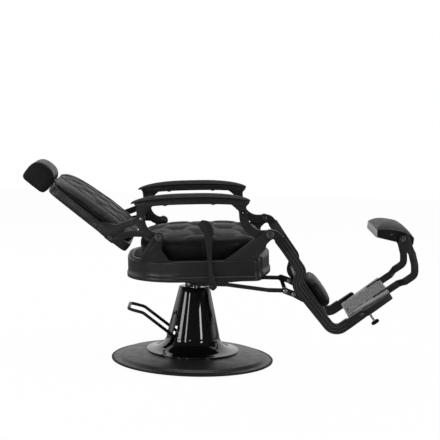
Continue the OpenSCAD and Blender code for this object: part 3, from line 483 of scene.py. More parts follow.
# The tread's cast grey carries painted shade in the hollows between its raised lines.
TREAD_CAST_PAINTED_SHADE = cast_tread_painted_shade()
DARK_CAST = cast_grey("dark_casting", grey(0.008), grey(0.09, 0.092))
KNOB = two_part("clamp_knob", knob_level)
YOKE_METAL = two_part("yoke_pin_ends", yoke_reach, specular=0.0)
REAR_PIN_METAL = two_part("rear_pin_ends", near_axis(REAR_PIN, 5.6))
FRONT_PIN_METAL = two_part("front_pin_ends", near_axis(FRONT_PIN, 3.6))
# The foot board is black with its rear end face painted light grey: painted highlight on the end
# face.
BOARD_PAINTED_LIT_END = two_part("foot_board_painted_lit_end", board_end, (0.32, 0.318, 0.315), 0.0, 0.5)

# ---- Outlines ----------------------------------------------------------------------------------

def fillet(before, corner, after, radius, steps):
    """The corner as an arc that touches both sides."""
    if radius <= 0:
        return [corner]
    into = (before - corner).normalized()
    out = (after - corner).normalized()
    half = into.angle(out) / 2
    if half > 1.553:
        return [corner]
    centre = corner + (into + out).normalized() * (radius / math.sin(half))
    start = corner + into * (radius / math.tan(half)) - centre
    end = corner + out * (radius / math.tan(half)) - centre
    sweep = start.angle_signed(end)
    points = []
    for step in range(steps + 1):
        turn = -sweep * step / steps
        c, s = math.cos(turn), math.sin(turn)
        points.append(centre + Vector((start.x * c - start.y * s, start.x * s + start.y * c)))
    return points


def rounded(corners, closed, steps):
    """A line through (x, y, radius) corners in millimetres, as points in metres."""
    spots = [Vector(c[:2]) * MM for c in corners]
    count = len(spots)
    points = []
    for index, corner in enumerate(corners):
        if not closed and index in (0, count - 1):
            points.append(spots[index])
        else:
            points += fillet(spots[index - 1], spots[index], spots[(index + 1) % count],
                             corner[2] * MM, steps)
    return points


def side_normals(points, closed):
    """Unit normals to the right of the way along the points."""
    count = len(points)
    normals = []
    for index in range(count):
        before = points[index - 1] if closed or index else points[0]
        after = points[(index + 1) % count] if closed or index < count - 1 else points[-1]
        way = (after - before).normalized()
        normals.append(Vector((way.y, -way.x)))
    return normals


def offset(points, closed, amount):
    return [p + n * amount for p, n in zip(points, side_normals(points, closed))]


def spaced(points, closed, gap):
    """The same line with points at even gaps."""
    line = points + [points[0]] if closed else points
    lengths = [0.0]
    for a, b in zip(line, line[1:]):
        lengths.append(lengths[-1] + (b - a).length)
    count = max(4, round(lengths[-1] / gap))
    found, at = [], 0
    for step in range(count if closed else count + 1):
        want = lengths[-1] * step / count
        while at < len(lengths) - 2 and lengths[at + 1] < want:
            at += 1
        share = (want - lengths[at]) / max(1e-9, lengths[at + 1] - lengths[at])
        found.append(line[at].lerp(line[at + 1], min(1, share)))
    return found


def ring_block(name, points, profile, where):
    """A closed block: the outline's points drawn along the profile's rings.

    Each ring of the profile is (outset, height), and where(x, y, height) gives
    a ring point's place. Both ends are closed with a flat face.
    """
    rows = len(profile)
    around = len(points)
    normals = side_normals(points, True)
    bpy.ops.object.select_all(action="DESELECT")
    bpy.ops.mesh.primitive_cylinder_add(vertices=around, radius=1, depth=2, end_fill_type="NGON")
    obj = bpy.context.object
    obj.name = name
    edit(obj, "EDGE")
    mesh = bmesh.from_edit_mesh(obj.data)
    upright = [e for e in mesh.edges if abs(e.verts[0].co.z - e.verts[1].co.z) > 1]
    if rows > 2:
        bmesh.ops.subdivide_edges(mesh, edges=upright, cuts=rows - 2, use_grid_fill=True)
    bmesh.update_edit_mesh(obj.data)
    object_mode()
    for vertex in obj.data.vertices:
        row = round((vertex.co.z + 1) / 2 * (rows - 1))
        spot = round(math.atan2(vertex.co.x, vertex.co.y) / (2 * math.pi) * around) % around
        outset, height = profile[row]
        point = points[spot] + normals[spot] * outset
        vertex.co = where(point.x, point.y, height)
    weld(obj)
    return obj


def arc_profile(centre_out, centre_up, radius, start, end, steps):
    """Profile rings along an arc, angles in degrees from straight out."""
    rings = []
    for step in range(steps + 1):
        angle = math.radians(start + (end - start) * step / steps)
        rings.append((centre_out + radius * math.cos(angle), centre_up + radius * math.sin(angle)))
    return rings


# ---- Pressed and cast covers -----------------------------------------------------------------

PAN_REAR, PAN_FRONT, PAN_NOSE = -267, 256, 303
PAN_HALF, NOSE_HALF, NOSE_ARC = 284, 182, 35
PAN_FOOT, PAN_TOP = 0.011, 0.093
LIP_TOP, LIP_OUT = 0.032, 0.004


def make_seat_pan():
    """The pressed pan: a square lip at its foot, a plain wall and a turned-in rim."""
    nose = [(PAN_NOSE - NOSE_ARC * (i / 12) ** 2, NOSE_HALF * i / 12, 0) for i in range(-11, 12)]
    corners = [(PAN_REAR, -PAN_HALF, 225), (PAN_FRONT, -PAN_HALF, 24), (PAN_FRONT, -NOSE_HALF, 3),
               (PAN_NOSE - NOSE_ARC, -NOSE_HALF, 6)] + nose
    corners += [(PAN_NOSE - NOSE_ARC, NOSE_HALF, 6), (PAN_FRONT, NOSE_HALF, 3),
                (PAN_FRONT, PAN_HALF, 24), (PAN_REAR, PAN_HALF, 225)]
    outline = spaced(rounded(corners, True, 18), True, 0.0045)
    rings = [(-0.040, PAN_FOOT), (-0.002, PAN_FOOT)]
    rings += arc_profile(LIP_OUT - 0.0015, PAN_FOOT + 0.0015, 0.0015, -80, 0, 3)
    rings += [(LIP_OUT, LIP_TOP - 0.0046), (LIP_OUT - 0.0004, LIP_TOP - 0.0040),
              (0.0006, LIP_TOP - 0.0004), (0.0, LIP_TOP + 0.0006), (0.0, LIP_TOP + 0.016),
              (0.0, PAN_TOP - 0.012), (0.0, PAN_TOP - 0.0040), (-0.0005, PAN_TOP - 0.0032),
              (-0.0036, PAN_TOP - 0.0003), (-0.0045, PAN_TOP)]
    rings += [(-0.016, PAN_TOP), (-0.0245, PAN_TOP - 0.0002), (-0.026, PAN_TOP - 0.0018),
              (-0.026, PAN_TOP - 0.010)]
    obj = ring_block("pressed_pan", outline, rings, lambda x, y, z: (x, y, z))
    obj.data.transform(seat_frame())
    smooth(obj, 50)
    give(obj, PAN_COAT, "seat")
    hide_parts("seat_pan")


SHELL_BACK, SHELL_FRONT, SHELL_FOOT, SHELL_TOP, SHELL_HALF = -0.074, -0.038, 286, 669, 244


def make_back_shell():
    """The backrest's pressed shell: softly rounded at the back, square to the cushion."""
    corners = [(SHELL_FOOT, -SHELL_HALF, 34), (SHELL_TOP, -SHELL_HALF, 38),
               (SHELL_TOP, SHELL_HALF, 38), (SHELL_FOOT, SHELL_HALF, 34)]
    outline = spaced(rounded(corners, True, 16), True, 0.006)
    for spot in outline:
        spot.y *= 1 - 0.022 * max(0, (spot.x - 0.47) / 0.195) ** 2
    rings = [(-0.030, SHELL_BACK), (-0.012, SHELL_BACK)]
    rings += arc_profile(-0.0085, SHELL_BACK + 0.008, 0.008, -80, -8, 6)
    rings += [(-0.0002, SHELL_BACK + 0.014), (0.0, SHELL_BACK + 0.022),
              (-0.0005, SHELL_FRONT - 0.004)]
    rings += arc_profile(-0.0035, SHELL_FRONT - 0.003, 0.003, 10, 90, 4)
    rings += [(-0.02, SHELL_FRONT)]
    obj = ring_block("pressed_back", outline, rings, lambda z, y, x: (x, y, z))
    obj.data.transform(back_frame())
    smooth(obj, 50)
    give(obj, SHELL_COAT, "back")
    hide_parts("back_shell")


SHIN = [(341, 158, 0), (372, 112, 20), (421, 34, 26), (403, -27, 26), (548, -216, 42),
        (607, -177, 0)]
LEG_RIDGES = ((-0.0164, 0.0007), (-0.0066, 0.0015), (0.0066, 0.0015), (0.0164, 0.0007))
OUTSIDE = 0.3


def dress_legs():
    """Rounds the leg bars and lays the cast lines along each outer face, in a lighter coat that is
    painted highlight.
    """
    inner = spaced(rounded(SHIN, False, 12), False, 0.003)[2:-5]
    for side, sign in (("right", -1), ("left", 1)):
        bar = merged_copy("leg_" + side, "leg_bar_" + side)
        bevel(bar, 0.0016, 2)
        bar.data.materials.append(BLACK_COAT)
        pieces = [bar]
        for shift, radius in LEG_RIDGES:
            points = []
            for spot in offset(inner, False, shift):
                start = seat_frame() @ Vector((spot.x, sign * OUTSIDE, spot.y))
                hit, near, _, _ = bar.ray_cast(start, Vector((0, -sign, 0)), distance=OUTSIDE / 2)
                if hit:
                    points.append(near + Vector((0, sign * 0.0002, 0)))
            ridge = cord_loop("leg_ridge", points, radius, False)
            # The lighter ridge coat is painted highlight along each line.
            ridge.data.materials.append(RIDGE_PAINTED_HIGHLIGHT)
            pieces.append(ridge)
        obj = join(pieces)
        smooth(obj, 40)
        give(obj, None, "leg_rest")
        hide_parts("leg_" + side)


LEVER_FACE = -0.308
LEVER = [(18, 241, 3), (36, 255, 7), (56, 252, 12), (73, 238, 14), (81, 205, 30), (72, 160, 60),
         (71, 100, 60), (75, 50, 40), (86, 8, 8), (88, -8, 6), (73, -22, 8), (58, -10, 8),
         (57, 38, 40), (53, 108, 60), (48, 160, 30), (42, 202, 12), (24, 230, 8)]


def dress_lever():
    """The hooked lever, with a cast border just inside its edge."""
    handle = merged_copy("recline_lever", "lever_handle")
    bevel(handle, 0.0022, 3)
    line = rounded(LEVER, True, 6)
    inner = spaced(offset(line, True, 0.0042), True, 0.003)
    points = [seat_frame() @ Vector((p.x, LEVER_FACE - 0.0002, p.y)) for p in inner]
    ridge = cord_loop("lever_ridge", points, 0.0009)
    obj = join([handle, ridge])
    smooth(obj, 40)
    give(obj, BLACK_COAT, "lever")
    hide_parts("recline_lever")


TREAD_X, TREAD_HALF = (0.007, 0.184), 0.1075
TREAD_VALLEY, TREAD_SUNK = 0.0006, 0.0003


def tread_wave(x, y):
    """The height share of the cast lines, which run crooked, meet and part again."""
    sway = 0.011 * math.sin(x / 0.013) + 0.006 * math.sin(x / 0.0061 + y / 0.02)
    fold = 0.010 * math.sin(y / 0.014 + 0.5) * (1 if abs(y) < 0.05 else 0.6)
    return 0.5 + 0.5 * math.sin((y + sway) / 0.0026 + 2.2 * math.sin((x + fold) / 0.0085))


def make_tread():
    """The foot plate: a plain rim round a field of crooked raised lines."""
    plate = merged_copy("foot_plate", "foot_grid")
    into_plate = plate_frame().inverted()
    for vertex in plate.data.vertices:
        spot = into_plate @ vertex.co
        if spot.z > 0.0002:
            spot.z = 0
            vertex.co = plate_frame() @ spot
    weld(plate, 0.00002, 1)
    bevel(plate, 0.0009, 2)
    bpy.ops.object.select_all(action="DESELECT")
    bpy.ops.mesh.primitive_grid_add(x_subdivisions=136, y_subdivisions=166, size=2)
    field = bpy.context.object
    length = (TREAD_X[1] - TREAD_X[0]) / 2
    for vertex in field.data.vertices:
        u, v = vertex.co.x, vertex.co.y
        x, y = TREAD_X[0] + length * (1 + u), TREAD_HALF * v
        edge = min(1, (1 - abs(u)) / 0.02, (1 - abs(v)) / 0.02)
        height = TREAD_VALLEY + (TREAD_RISE - TREAD_VALLEY) * tread_wave(x, y)
        vertex.co = (x, y, edge * height - TREAD_SUNK * (1 - edge))
    field.data.transform(plate_frame())
    obj = join([plate, field])
    smooth(obj, 50)
    give(obj, TREAD_CAST_PAINTED_SHADE, "leg_rest")
    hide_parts("foot_plate")


# ---- Rigid pieces that keep their CAD form -----------------------------------------------

def dress_rigid():
    for side in ("right", "left"):
        refine("arm_rail_" + side, "arm_frame_" + side, "arm_" + side, BLACK_COAT, 0.0022, 3)
        refine("back_bracket_" + side, "bracket_" + side, "back", BLACK_COAT, 0.0016, 2)
        refine("foot_arm_" + side, "foot_bar_" + side, "foot_slide", BLACK_COAT, 0.0016, 2)
        refine("clamp_knob_" + side, "knob_" + side, "knob_" + side, KNOB,
               0.0006, 2)
    for node, body, width in (("lock_box", "seat", 0.0015), ("rear_ears", "seat", 0.0018),
                              ("front_ears", "seat", 0.0018), ("cross_tubes", "leg_rest", 0.0008),
                              ("rod_brackets", "leg_rest", 0.001),
                              ("push_rods", "push_yoke", 0.001),
                              ("plate_channels", "leg_rest", 0.002)):
        refine(node, node + "_coated", body, BLACK_COAT, width, 2)
    # The board's rear end face is painted light grey: painted highlight.
    refine("foot_pad_board", "foot_pad_board_covered", "foot_rest", BOARD_PAINTED_LIT_END, 0.0012, 2)
    pedal = refine("pump_pedal", "pedal_bars", "pedal", BLACK_COAT, 0.001, 2)
    modify(pedal, "thicken", "DISPLACE", strength=0.0015, mid_level=0)
    refine("base_plate", "floor_disc", "base", SATIN_BLACK, 0.0012, 3)
    refine("base_edge_ring", "rubber_ring", "base", RUBBER, 0.0012, 3)
    refine("cone_cover", "cone_shell", "base", GLOSS_BLACK, 0.0012, 3)
    refine("calf_plate", "calf_backing", "leg_rest", DARK_CAST, 0.0012, 2)
    for node, body in (("pivot_bolts", "seat"), ("bracket_screws", "back"),
                       ("plate_bolts", "leg_rest"), ("pad_screws", "arm_right"),
                       ("pad_screws_left", "arm_left"),
                       ("foot_pad_bolts", "foot_rest")):
        refine(node, node + "_dark", body, BOLT_STEEL, 0.0012, 2)
    for node, body in (("mount_bolts", "seat"), ("leg_bolts", "leg_rest"), ("base_bolts", "base")):
        refine(node, node + "_zinc", body, ZINC, 0.0006, 2)
    for node, body, material in (("yoke_pin", "push_yoke", YOKE_METAL),
                                 ("arm_pins", "back", REAR_PIN_METAL),
                                 ("front_arm_pins", "leg_rest", FRONT_PIN_METAL),
                                 ("lever_shaft", "lever", DARK_OXIDE)):
        refine(node, node + "_zinc", body, material, 0.0006, 2)
    for node, material in (("pump_cylinder", IRON), ("pump_block", IRON),
                           ("pedal_shaft", DARK_OXIDE), ("piston_rod", BRIGHT_STEEL),
                           ("swivel_bearing", DARK_OXIDE),
                           ("seat_rails", BLACK_COAT), ("seat_board", BOARD),
                           ("headrest_post", BOLT_STEEL)):
        data = NODES[node].data
        data.materials.clear()
        data.materials.append(material)


dress_rigid()
make_seat_pan()
make_back_shell()
dress_legs()
dress_lever()
make_tread()


# ---- Padded pieces -------------------------------------------------------------------------

def superellipse(c, s, power):
    return (abs(c) ** power + abs(s) ** power) ** (-1 / power)


def pad_block(name, half_x, half_y, height, cuts, side_cuts, form):
    """A cube cut into a fine net and drawn out to a cushion that stands on z = 0.

    form(share, c, s) gives the plan reach and the height share in the direction
    (c, s), along the way from the middle of the top (0) over the top edge (1)
    down the side to the foot (2).
    """
    bpy.ops.object.select_all(action="DESELECT")
    bpy.ops.mesh.primitive_cube_add(size=2)
    obj = bpy.context.object
    obj.name = name
    edit(obj, "EDGE")
    mesh = bmesh.from_edit_mesh(obj.data)
    flat = [e for e in mesh.edges if abs(e.verts[0].co.z - e.verts[1].co.z) < 0.1]
    bmesh.ops.subdivide_edges(mesh, edges=flat, cuts=cuts, use_grid_fill=True)
    tall = [e for e in mesh.edges if abs(e.verts[0].co.z - e.verts[1].co.z) > 0.1]
    bmesh.ops.subdivide_edges(mesh, edges=tall, cuts=side_cuts, use_grid_fill=True)
    bmesh.update_edit_mesh(obj.data)
    object_mode()
    for vertex in obj.data.vertices:
        u, v, w = vertex.co
        ring = max(abs(u), abs(v))
        if w > 0.9999:
            share = ring
        elif w < -0.9999:
            share = 2 + (1 - ring)
        else:
            share = 1 + (1 - w) / 2
        length = math.hypot(u, v)
        c, s = (u / length, v / length) if length > 1e-9 else (1, 0)
        reach, rise = form(min(share, 2.0), c, s)
        if share > 2:
            reach *= ring
        vertex.co = (half_x * reach * c, half_y * reach * s, height * rise)
    return obj


def crowned(edge, bulge, foot, drop, power):
    """A form with a crowned top, a rounded edge and a side that bulges."""
    def form(share, c, s):
        out = superellipse(c, s, power)
        if share <= 1:
            return out * edge * share, 1 - drop * share ** 3
        t = share - 1
        swell = math.sin(math.pi * min(1, t * 1.06)) ** 0.8
        scale = edge + (foot - edge) * t + (bulge - max(edge, foot)) * swell
        scale += (max(edge, foot) - edge - (foot - edge) * t) * swell
        return out * scale, (1 - drop) * (1 - t) ** 0.92
    return form


def line_gaps(x, y, pitch_x, pitch_y):
    """Distances from a point to the two nearest crossing seams."""
    slope = math.hypot(1 / pitch_x, 1 / pitch_y)
    gaps = []
    for turn in (1, -1):
        value = x / pitch_x + turn * y / pitch_y
        gaps.append(abs(value - round(value)) / slope)
    return gaps


CLOTH_STIFF, CLOTH_BEND = 14.0, 0.4


def inflate(obj, pressure, cap, frames, held):
    """Swells the piece as cloth round its held points, and limits how far it moves."""
    start = [vertex.co.copy() for vertex in obj.data.vertices]
    only(obj)
    cloth = obj.modifiers.new("cloth", "CLOTH")
    settings = cloth.settings
    settings.quality = 5
    settings.mass = 0.25
    settings.tension_stiffness = CLOTH_STIFF
    settings.compression_stiffness = CLOTH_STIFF
    settings.shear_stiffness = CLOTH_STIFF / 2
    settings.bending_stiffness = CLOTH_BEND
    settings.use_pressure = True
    settings.uniform_pressure_force = pressure
    settings.effector_weights.gravity = 0
    if held:
        group = obj.vertex_groups.new(name="held")
        for index, weight in held:
            group.add([index], weight, "REPLACE")
        settings.vertex_group_mass = group.name
        settings.pin_stiffness = 2.0
    cloth.point_cache.frame_start = 1
    cloth.point_cache.frame_end = frames
    scene = bpy.context.scene
    for number in range(1, frames + 1):
        scene.frame_set(number)
    only(obj)
    bpy.ops.object.modifier_apply(modifier=cloth.name)
    scene.frame_set(1)
    for vertex, place_was in zip(obj.data.vertices, start):
        move = vertex.co - place_was
        if move.length > cap:
            vertex.co = place_was + move * (cap / move.length)
    obj.vertex_groups.clear()


def refine_net(obj):
    """Rounds the piece with a net twice as fine."""
    modify(obj, "net", "SUBSURF", levels=1, render_levels=1)


def soft_relax(obj, rounds, factor):
    """Evens out small dents."""
    modify(obj, "relax", "SMOOTH", iterations=rounds, factor=factor)


def set_in_place(obj, matrix):
    """Takes a piece modelled on its own axes to its place on the chair."""
    obj.data.transform(matrix)
    obj.data.update()
    if matrix.determinant() < 0:
        obj.data.flip_normals()
    only(obj)
    bpy.ops.object.shade_smooth()


def on_surface(obj, points, sink):
    """The points moved onto the piece, and sunk into it a little."""
    found = []
    for point in points:
        hit, near, normal, _ = obj.closest_point_on_mesh(Vector(point))
        found.append(near - normal * sink if hit else Vector(point))
    return found


def press_seam(obj, distance, width, depth):
    """Presses a narrow line into the piece wherever distance(co) comes near zero."""
    normals = [vertex.normal.copy() for vertex in obj.data.vertices]
    for vertex, normal in zip(obj.data.vertices, normals):
        gap = distance(vertex.co)
        if gap is not None and gap < 3 * width:
            vertex.co -= normal * (depth * math.exp(-(gap / width) ** 2))
    obj.data.update()


# The seat cushion: a deep soft box, pulled down where it is tufted

SEAT_PITCH = (0.190, 0.170)
SEAT_HALF = (0.243, 0.2515)
SEAT_HEIGHT = 0.110
SEAT_SQUARE = 3.7
SEAT_PLACE = (0.028, 0, 0.093)


def make_seat_cushion():
    """A deep soft box whose buttoned lines are held down while the rest swells."""
    half_x, half_y = SEAT_HALF
    form = crowned(0.91, 0.995, 0.955, 0.19, SEAT_SQUARE)
    obj = pad_block("tufted_seat", half_x, half_y, SEAT_HEIGHT, 75, 21, form)
    held = []
    for vertex in obj.data.vertices:
        x, y, z = vertex.co
        reach = abs(x / half_x) ** SEAT_SQUARE + abs(y / half_y) ** SEAT_SQUARE
        reach = reach ** (1 / SEAT_SQUARE)
        on_top = min(1, max(0, (0.97 - reach) / 0.12)) if z > SEAT_HEIGHT * 0.5 else 0
        first, second = line_gaps(x, y, *SEAT_PITCH)
        knot = math.hypot(first, second)
        pull = 0.017 * math.exp(-(knot / 0.030) ** 2)
        pull += 0.006 * math.exp(-(min(first, second) / 0.012) ** 2)
        puff = 0.002 * min(1, (first * second) ** 0.5 / 0.05)
        vertex.co.z += on_top * (puff - pull)
        if z < 0.004:
            held.append((vertex.index, 1.0))
        elif on_top > 0.35:
            if knot < 0.012:
                held.append((vertex.index, 1.0))
            elif min(first, second) < 0.0042:
                held.append((vertex.index, 0.35))
    obj.data.update()
    inflate(obj, 4.0, 0.008, 20, held)
    for vertex in obj.data.vertices:
        vertex.co.z = max(vertex.co.z, 0)
    soft_relax(obj, 1, 0.4)
    refine_net(obj)
    press_seam(obj, lambda co: abs(co.x - 0.004) if co.z < 0.075 and abs(co.y) > 0.15 else None,
               0.0016, 0.0022)
    set_in_place(obj, seat_frame() @ Matrix.Translation(SEAT_PLACE))
    give(obj, LEATHER, "seat")
    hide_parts("seat_cushion")


# The back cushion: a boxed pad whose face is sewn into diamonds

BACK_PITCH = (0.124, 0.128)
BACK_HALF = (0.1930, 0.2405)
BACK_HEIGHT = 0.0475
BACK_PLACE = (-0.038, 0, 0.4830)
BACK_WELT, BACK_WELT_PROUD = 0.0026, 0.0042

HEAD_FALL = [(-1.0, 0.38), (-0.93, 0.48), (-0.84, 0.59), (-0.73, 0.68), (-0.585, 0.78),
             (-0.344, 0.89), (-0.05, 0.95), (0.155, 1.02), (0.55, 1.03), (1.0, 1.0)]


def head_fall(share):
    """How thick the pad is along its length, from its head end (-1) to its seat end (1)."""
    for (a, low), (b, high) in zip(HEAD_FALL, HEAD_FALL[1:]):
        if share <= b:
            return low + (high - low) * max(0, (share - a) / (b - a))
    return HEAD_FALL[-1][1]


def face_reach(c, s):
    """The tufted face's edge: an arch at the head end, nearly square at the seat end."""
    if c > 0:
        return superellipse(c / 0.94, s / 0.69, 3.2)
    return superellipse(c / 0.975, s / 0.69, 2.0)


def back_form(share, c, s):
    """A crowned face inside a sewn edge, and a wall that turns to shoulders at the head."""
    edge = face_reach(c, s)
    if share <= 1:
        return edge * share, 1 - 0.14 * share ** 2.5
    t = share - 1
    out = superellipse(c, s, 5.0 if c > 0 else 6.5) * (0.998 - 0.012 * t * t)
    lift = 0.86 * math.cos(math.pi / 2 * t) ** 0.62
    return edge + (out - edge) * math.sin(math.pi / 2 * t) ** 0.9, lift


def arch_gap(co):
    """A point's distance to the sewn arch round the tufted face."""
    c, s = co.x / BACK_HALF[0], co.y / BACK_HALF[1]
    length = math.hypot(c, s)
    if length < 0.3 or co.z < 0.35 * BACK_HEIGHT * head_fall(c):
        return None
    return abs(length - face_reach(c / length, s / length)) * 0.21


def make_back_cushion():
    """A flat boxed pad, tufted inside its arch, with a welt along the arch."""
    half_x, half_y = BACK_HALF
    obj = pad_block("tufted_back", half_x, half_y, BACK_HEIGHT, 75, 17, back_form)
    held = []
    for vertex in obj.data.vertices:
        x, y, z = vertex.co
        c, s = x / half_x, y / half_y
        length = math.hypot(c, s)
        share = length / face_reach(c / length, s / length) if length > 1e-9 else 0
        fall = head_fall(c)
        on_face = z > BACK_HEIGHT * 0.8
        on_top = min(1, max(0, (0.98 - share) / 0.11)) if on_face else 0
        first, second = line_gaps(x, y, *BACK_PITCH)
        near = min(first, second)
        knot = math.hypot(first, second)
        pull = 0.006 * math.exp(-(knot / 0.020) ** 2) + 0.0068 * math.exp(-(near / 0.011) ** 2)
        vertex.co.z = z * fall + on_top * (0.0015 - pull)
        if z < 0.002:
            held.append((vertex.index, 1.0))
        elif on_top > 0.3 and near < 0.0042:
            held.append((vertex.index, 0.85))
        elif on_face and abs(share - 1) < 0.012:
            held.append((vertex.index, 0.9))
    obj.data.update()
    inflate(obj, 3.5, 0.005, 20, held)
    for vertex in obj.data.vertices:
        vertex.co.z = max(vertex.co.z, 0)
    soft_relax(obj, 1, 0.35)
    refine_net(obj)
    press_seam(obj, lambda co: abs(co.x - 0.045) if co.z < 0.05 and abs(co.y) > 0.2 else None,
               0.0015, 0.002)
    press_seam(obj, arch_gap, 0.0034, 0.0046)
    ring = []
    for index in range(200):
        angle = 2 * math.pi * index / 200
        c, s = math.cos(angle), math.sin(angle)
        reach = face_reach(c, s)
        ring.append((half_x * reach * c, half_y * reach * s,
                     0.9 * BACK_HEIGHT * head_fall(reach * c)))
    cord = cord_loop("back_welt", on_surface(obj, ring, -BACK_WELT_PROUD), BACK_WELT)
    obj.data.materials.append(LEATHER)
    # The welt's lighter leather is painted highlight along the arch.
    cord.data.materials.append(WELT_LEATHER_PAINTED_HIGHLIGHT)
    obj = join([obj, cord])
    turn = Matrix(((0, 0, 1, 0), (0, 1, 0, 0), (-1, 0, 0, 0), (0, 0, 0, 1)))
    set_in_place(obj, back_frame() @ Matrix.Translation(BACK_PLACE) @ turn)
    give(obj, None, "back")
    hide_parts("back_cushion")


def fit_to_node(obj, node, axes, spare):
    """Stretches the piece so that it fills the node's box, and spare beyond, in the axes."""
    into = axes.inverted()

    def reach(mesh):
        spots = [into @ v.co for v in mesh.vertices]
        return [(min(s[k] for s in spots), max(s[k] for s in spots)) for k in range(3)]

    wanted, found = reach(NODES[node].data), reach(obj.data)
    for vertex in obj.data.vertices:
        spot = into @ vertex.co
        for k in range(3):
            share = (spot[k] - found[k][0]) / (found[k][1] - found[k][0])
            low, high = wanted[k][0] + spare[k][0], wanted[k][1] + spare[k][1]
            spot[k] = low + share * (high - low)
        vertex.co = axes @ spot
    obj.data.update()


def swollen_copy(node, name, voxel, pressure, cap, shrink, flat_test=None):
    """A CAD pad, drawn in a little, netted evenly and blown up as cloth."""
    obj = merged_copy(node, name)
    modify(obj, "draw_in", "DISPLACE", strength=-shrink, mid_level=0)
    modify(obj, "even_net", "REMESH", mode="VOXEL", voxel_size=voxel)
    soft_relax(obj, 4, 0.5)
    held = None
    if flat_test:
        held = [(v.index, 1.0) for v in obj.data.vertices if flat_test(v.co)]
    inflate(obj, pressure, cap, 18, held)
    soft_relax(obj, 1, 0.3)
    refine_net(obj)
    only(obj)
    bpy.ops.object.shade_smooth()
    return obj


HEAD_REAR = -0.107
HEAD_RING, HEAD_RING_HALF, HEAD_RING_SIDE = (-0.066, 0.730), (0.040, 0.048), 0.086
HEAD_WELT = 0.0017


def make_small_pads():
    """The headrest roll with a welt at each end, and the calf pad."""
    into_back = back_frame().inverted()
    obj = swollen_copy("headrest_pad", "head_bolster", 0.0042, 4.0, 0.003, 0.001,
                       lambda co: (into_back @ co).x < HEAD_REAR)
    fit_to_node(obj, "headrest_pad", back_frame(), ((-0.006, 0.007), (0, 0), (0.0, 0.009)))
    welts = []
    for side in (-1, 1):
        ring = []
        for index in range(72):
            angle = 2 * math.pi * index / 72
            ring.append(back_frame() @ Vector((
                HEAD_RING[0] + HEAD_RING_HALF[0] * math.cos(angle), side * HEAD_RING_SIDE,
                HEAD_RING[1] + HEAD_RING_HALF[1] * math.sin(angle))))
        welts.append(cord_loop("head_welt", on_surface(obj, ring, 0.0005), HEAD_WELT))
    obj = join([obj] + welts)
    give(obj, LEATHER, "headrest")
    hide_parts("headrest_pad")

    obj = swollen_copy("calf_pad", "calf_rest", 0.0045, 4.0, 0.005, 0.003)
    give(obj, LEATHER, "leg_rest")
    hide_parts("calf_pad")


# The foot pad: a low crown sewn down along the curved top of its board

FOOT_PAD_X = (725, 872)
FOOT_PAD_HALF = 0.1492
FOOT_CROWN = 0.026
FOOT_WELT = 0.0014


def foot_edge(x):
    """The height of the board's top edge, in metres of the seat frame."""
    share = (x / MM - 724) / 149
    return (183.2 - 38 * share ** 3) * MM


def foot_form(share, c, s):
    """A soft crown that falls all the way to a short upright wall."""
    out = superellipse(c, s, 14.0)
    if share <= 1:
        fall = (1 - share ** 2.6) ** 0.72
        return out * 0.994 * share, 0.09 + 0.91 * fall * (1 - 0.35 * (share * s) ** 2)
    t = share - 1
    return out * (0.994 + 0.006 * math.sin(math.pi * min(1, 1.1 * t))), 0.09 * (1 - t)


def make_foot_pad():
    """The low pad, bent to the board's top edge, with a welt along each end."""
    middle = (FOOT_PAD_X[0] + FOOT_PAD_X[1]) / 2 * MM
    half = (FOOT_PAD_X[1] - FOOT_PAD_X[0]) / 2 * MM
    obj = pad_block("foot_bolster", half, FOOT_PAD_HALF, FOOT_CROWN, 61, 3, foot_form)
    held = [(v.index, 1.0) for v in obj.data.vertices if v.co.z < 0.0045]
    inflate(obj, 3.0, 0.002, 18, held)
    soft_relax(obj, 1, 0.3)
    for vertex in obj.data.vertices:
        vertex.co.y = max(-FOOT_PAD_HALF, min(FOOT_PAD_HALF, vertex.co.y))
        vertex.co.z = max(0, vertex.co.z) + foot_edge(vertex.co.x + middle)
    refine_net(obj)
    welts = []
    for sign in (-1, 1):
        line = []
        for step in range(49):
            x = (FOOT_PAD_X[0] + 1 + (FOOT_PAD_X[1] - FOOT_PAD_X[0] - 2) * step / 48) * MM
            line.append((x - middle, sign * (FOOT_PAD_HALF - 0.0007), foot_edge(x) + 0.0020))
        welt = cord_loop("foot_welt", line, FOOT_WELT, False)
        # The welts' lighter leather is painted highlight along the pad's ends.
        welt.data.materials.append(WELT_LEATHER_PAINTED_HIGHLIGHT)
        welts.append(welt)
    obj.data.materials.append(LEATHER)
    obj = join([obj] + welts)
    set_in_place(obj, seat_frame() @ Matrix.Translation((middle, 0, 0)))
    give(obj, None, "foot_rest")
    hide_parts("foot_pad")


# The armrest pads: long boat shapes with a lip along the rail

PAD_X = (-0.236, 0.223)
RAIL_TOP = 0.322
ARM_MID = 0.284


def arm_arch(x):
    """How far the pad's middle arches above its ends."""
    t = 2 * (x - PAD_X[0]) / (PAD_X[1] - PAD_X[0]) - 1
    return 0.012 * (1 - min(1, abs(t)) ** 2.6)


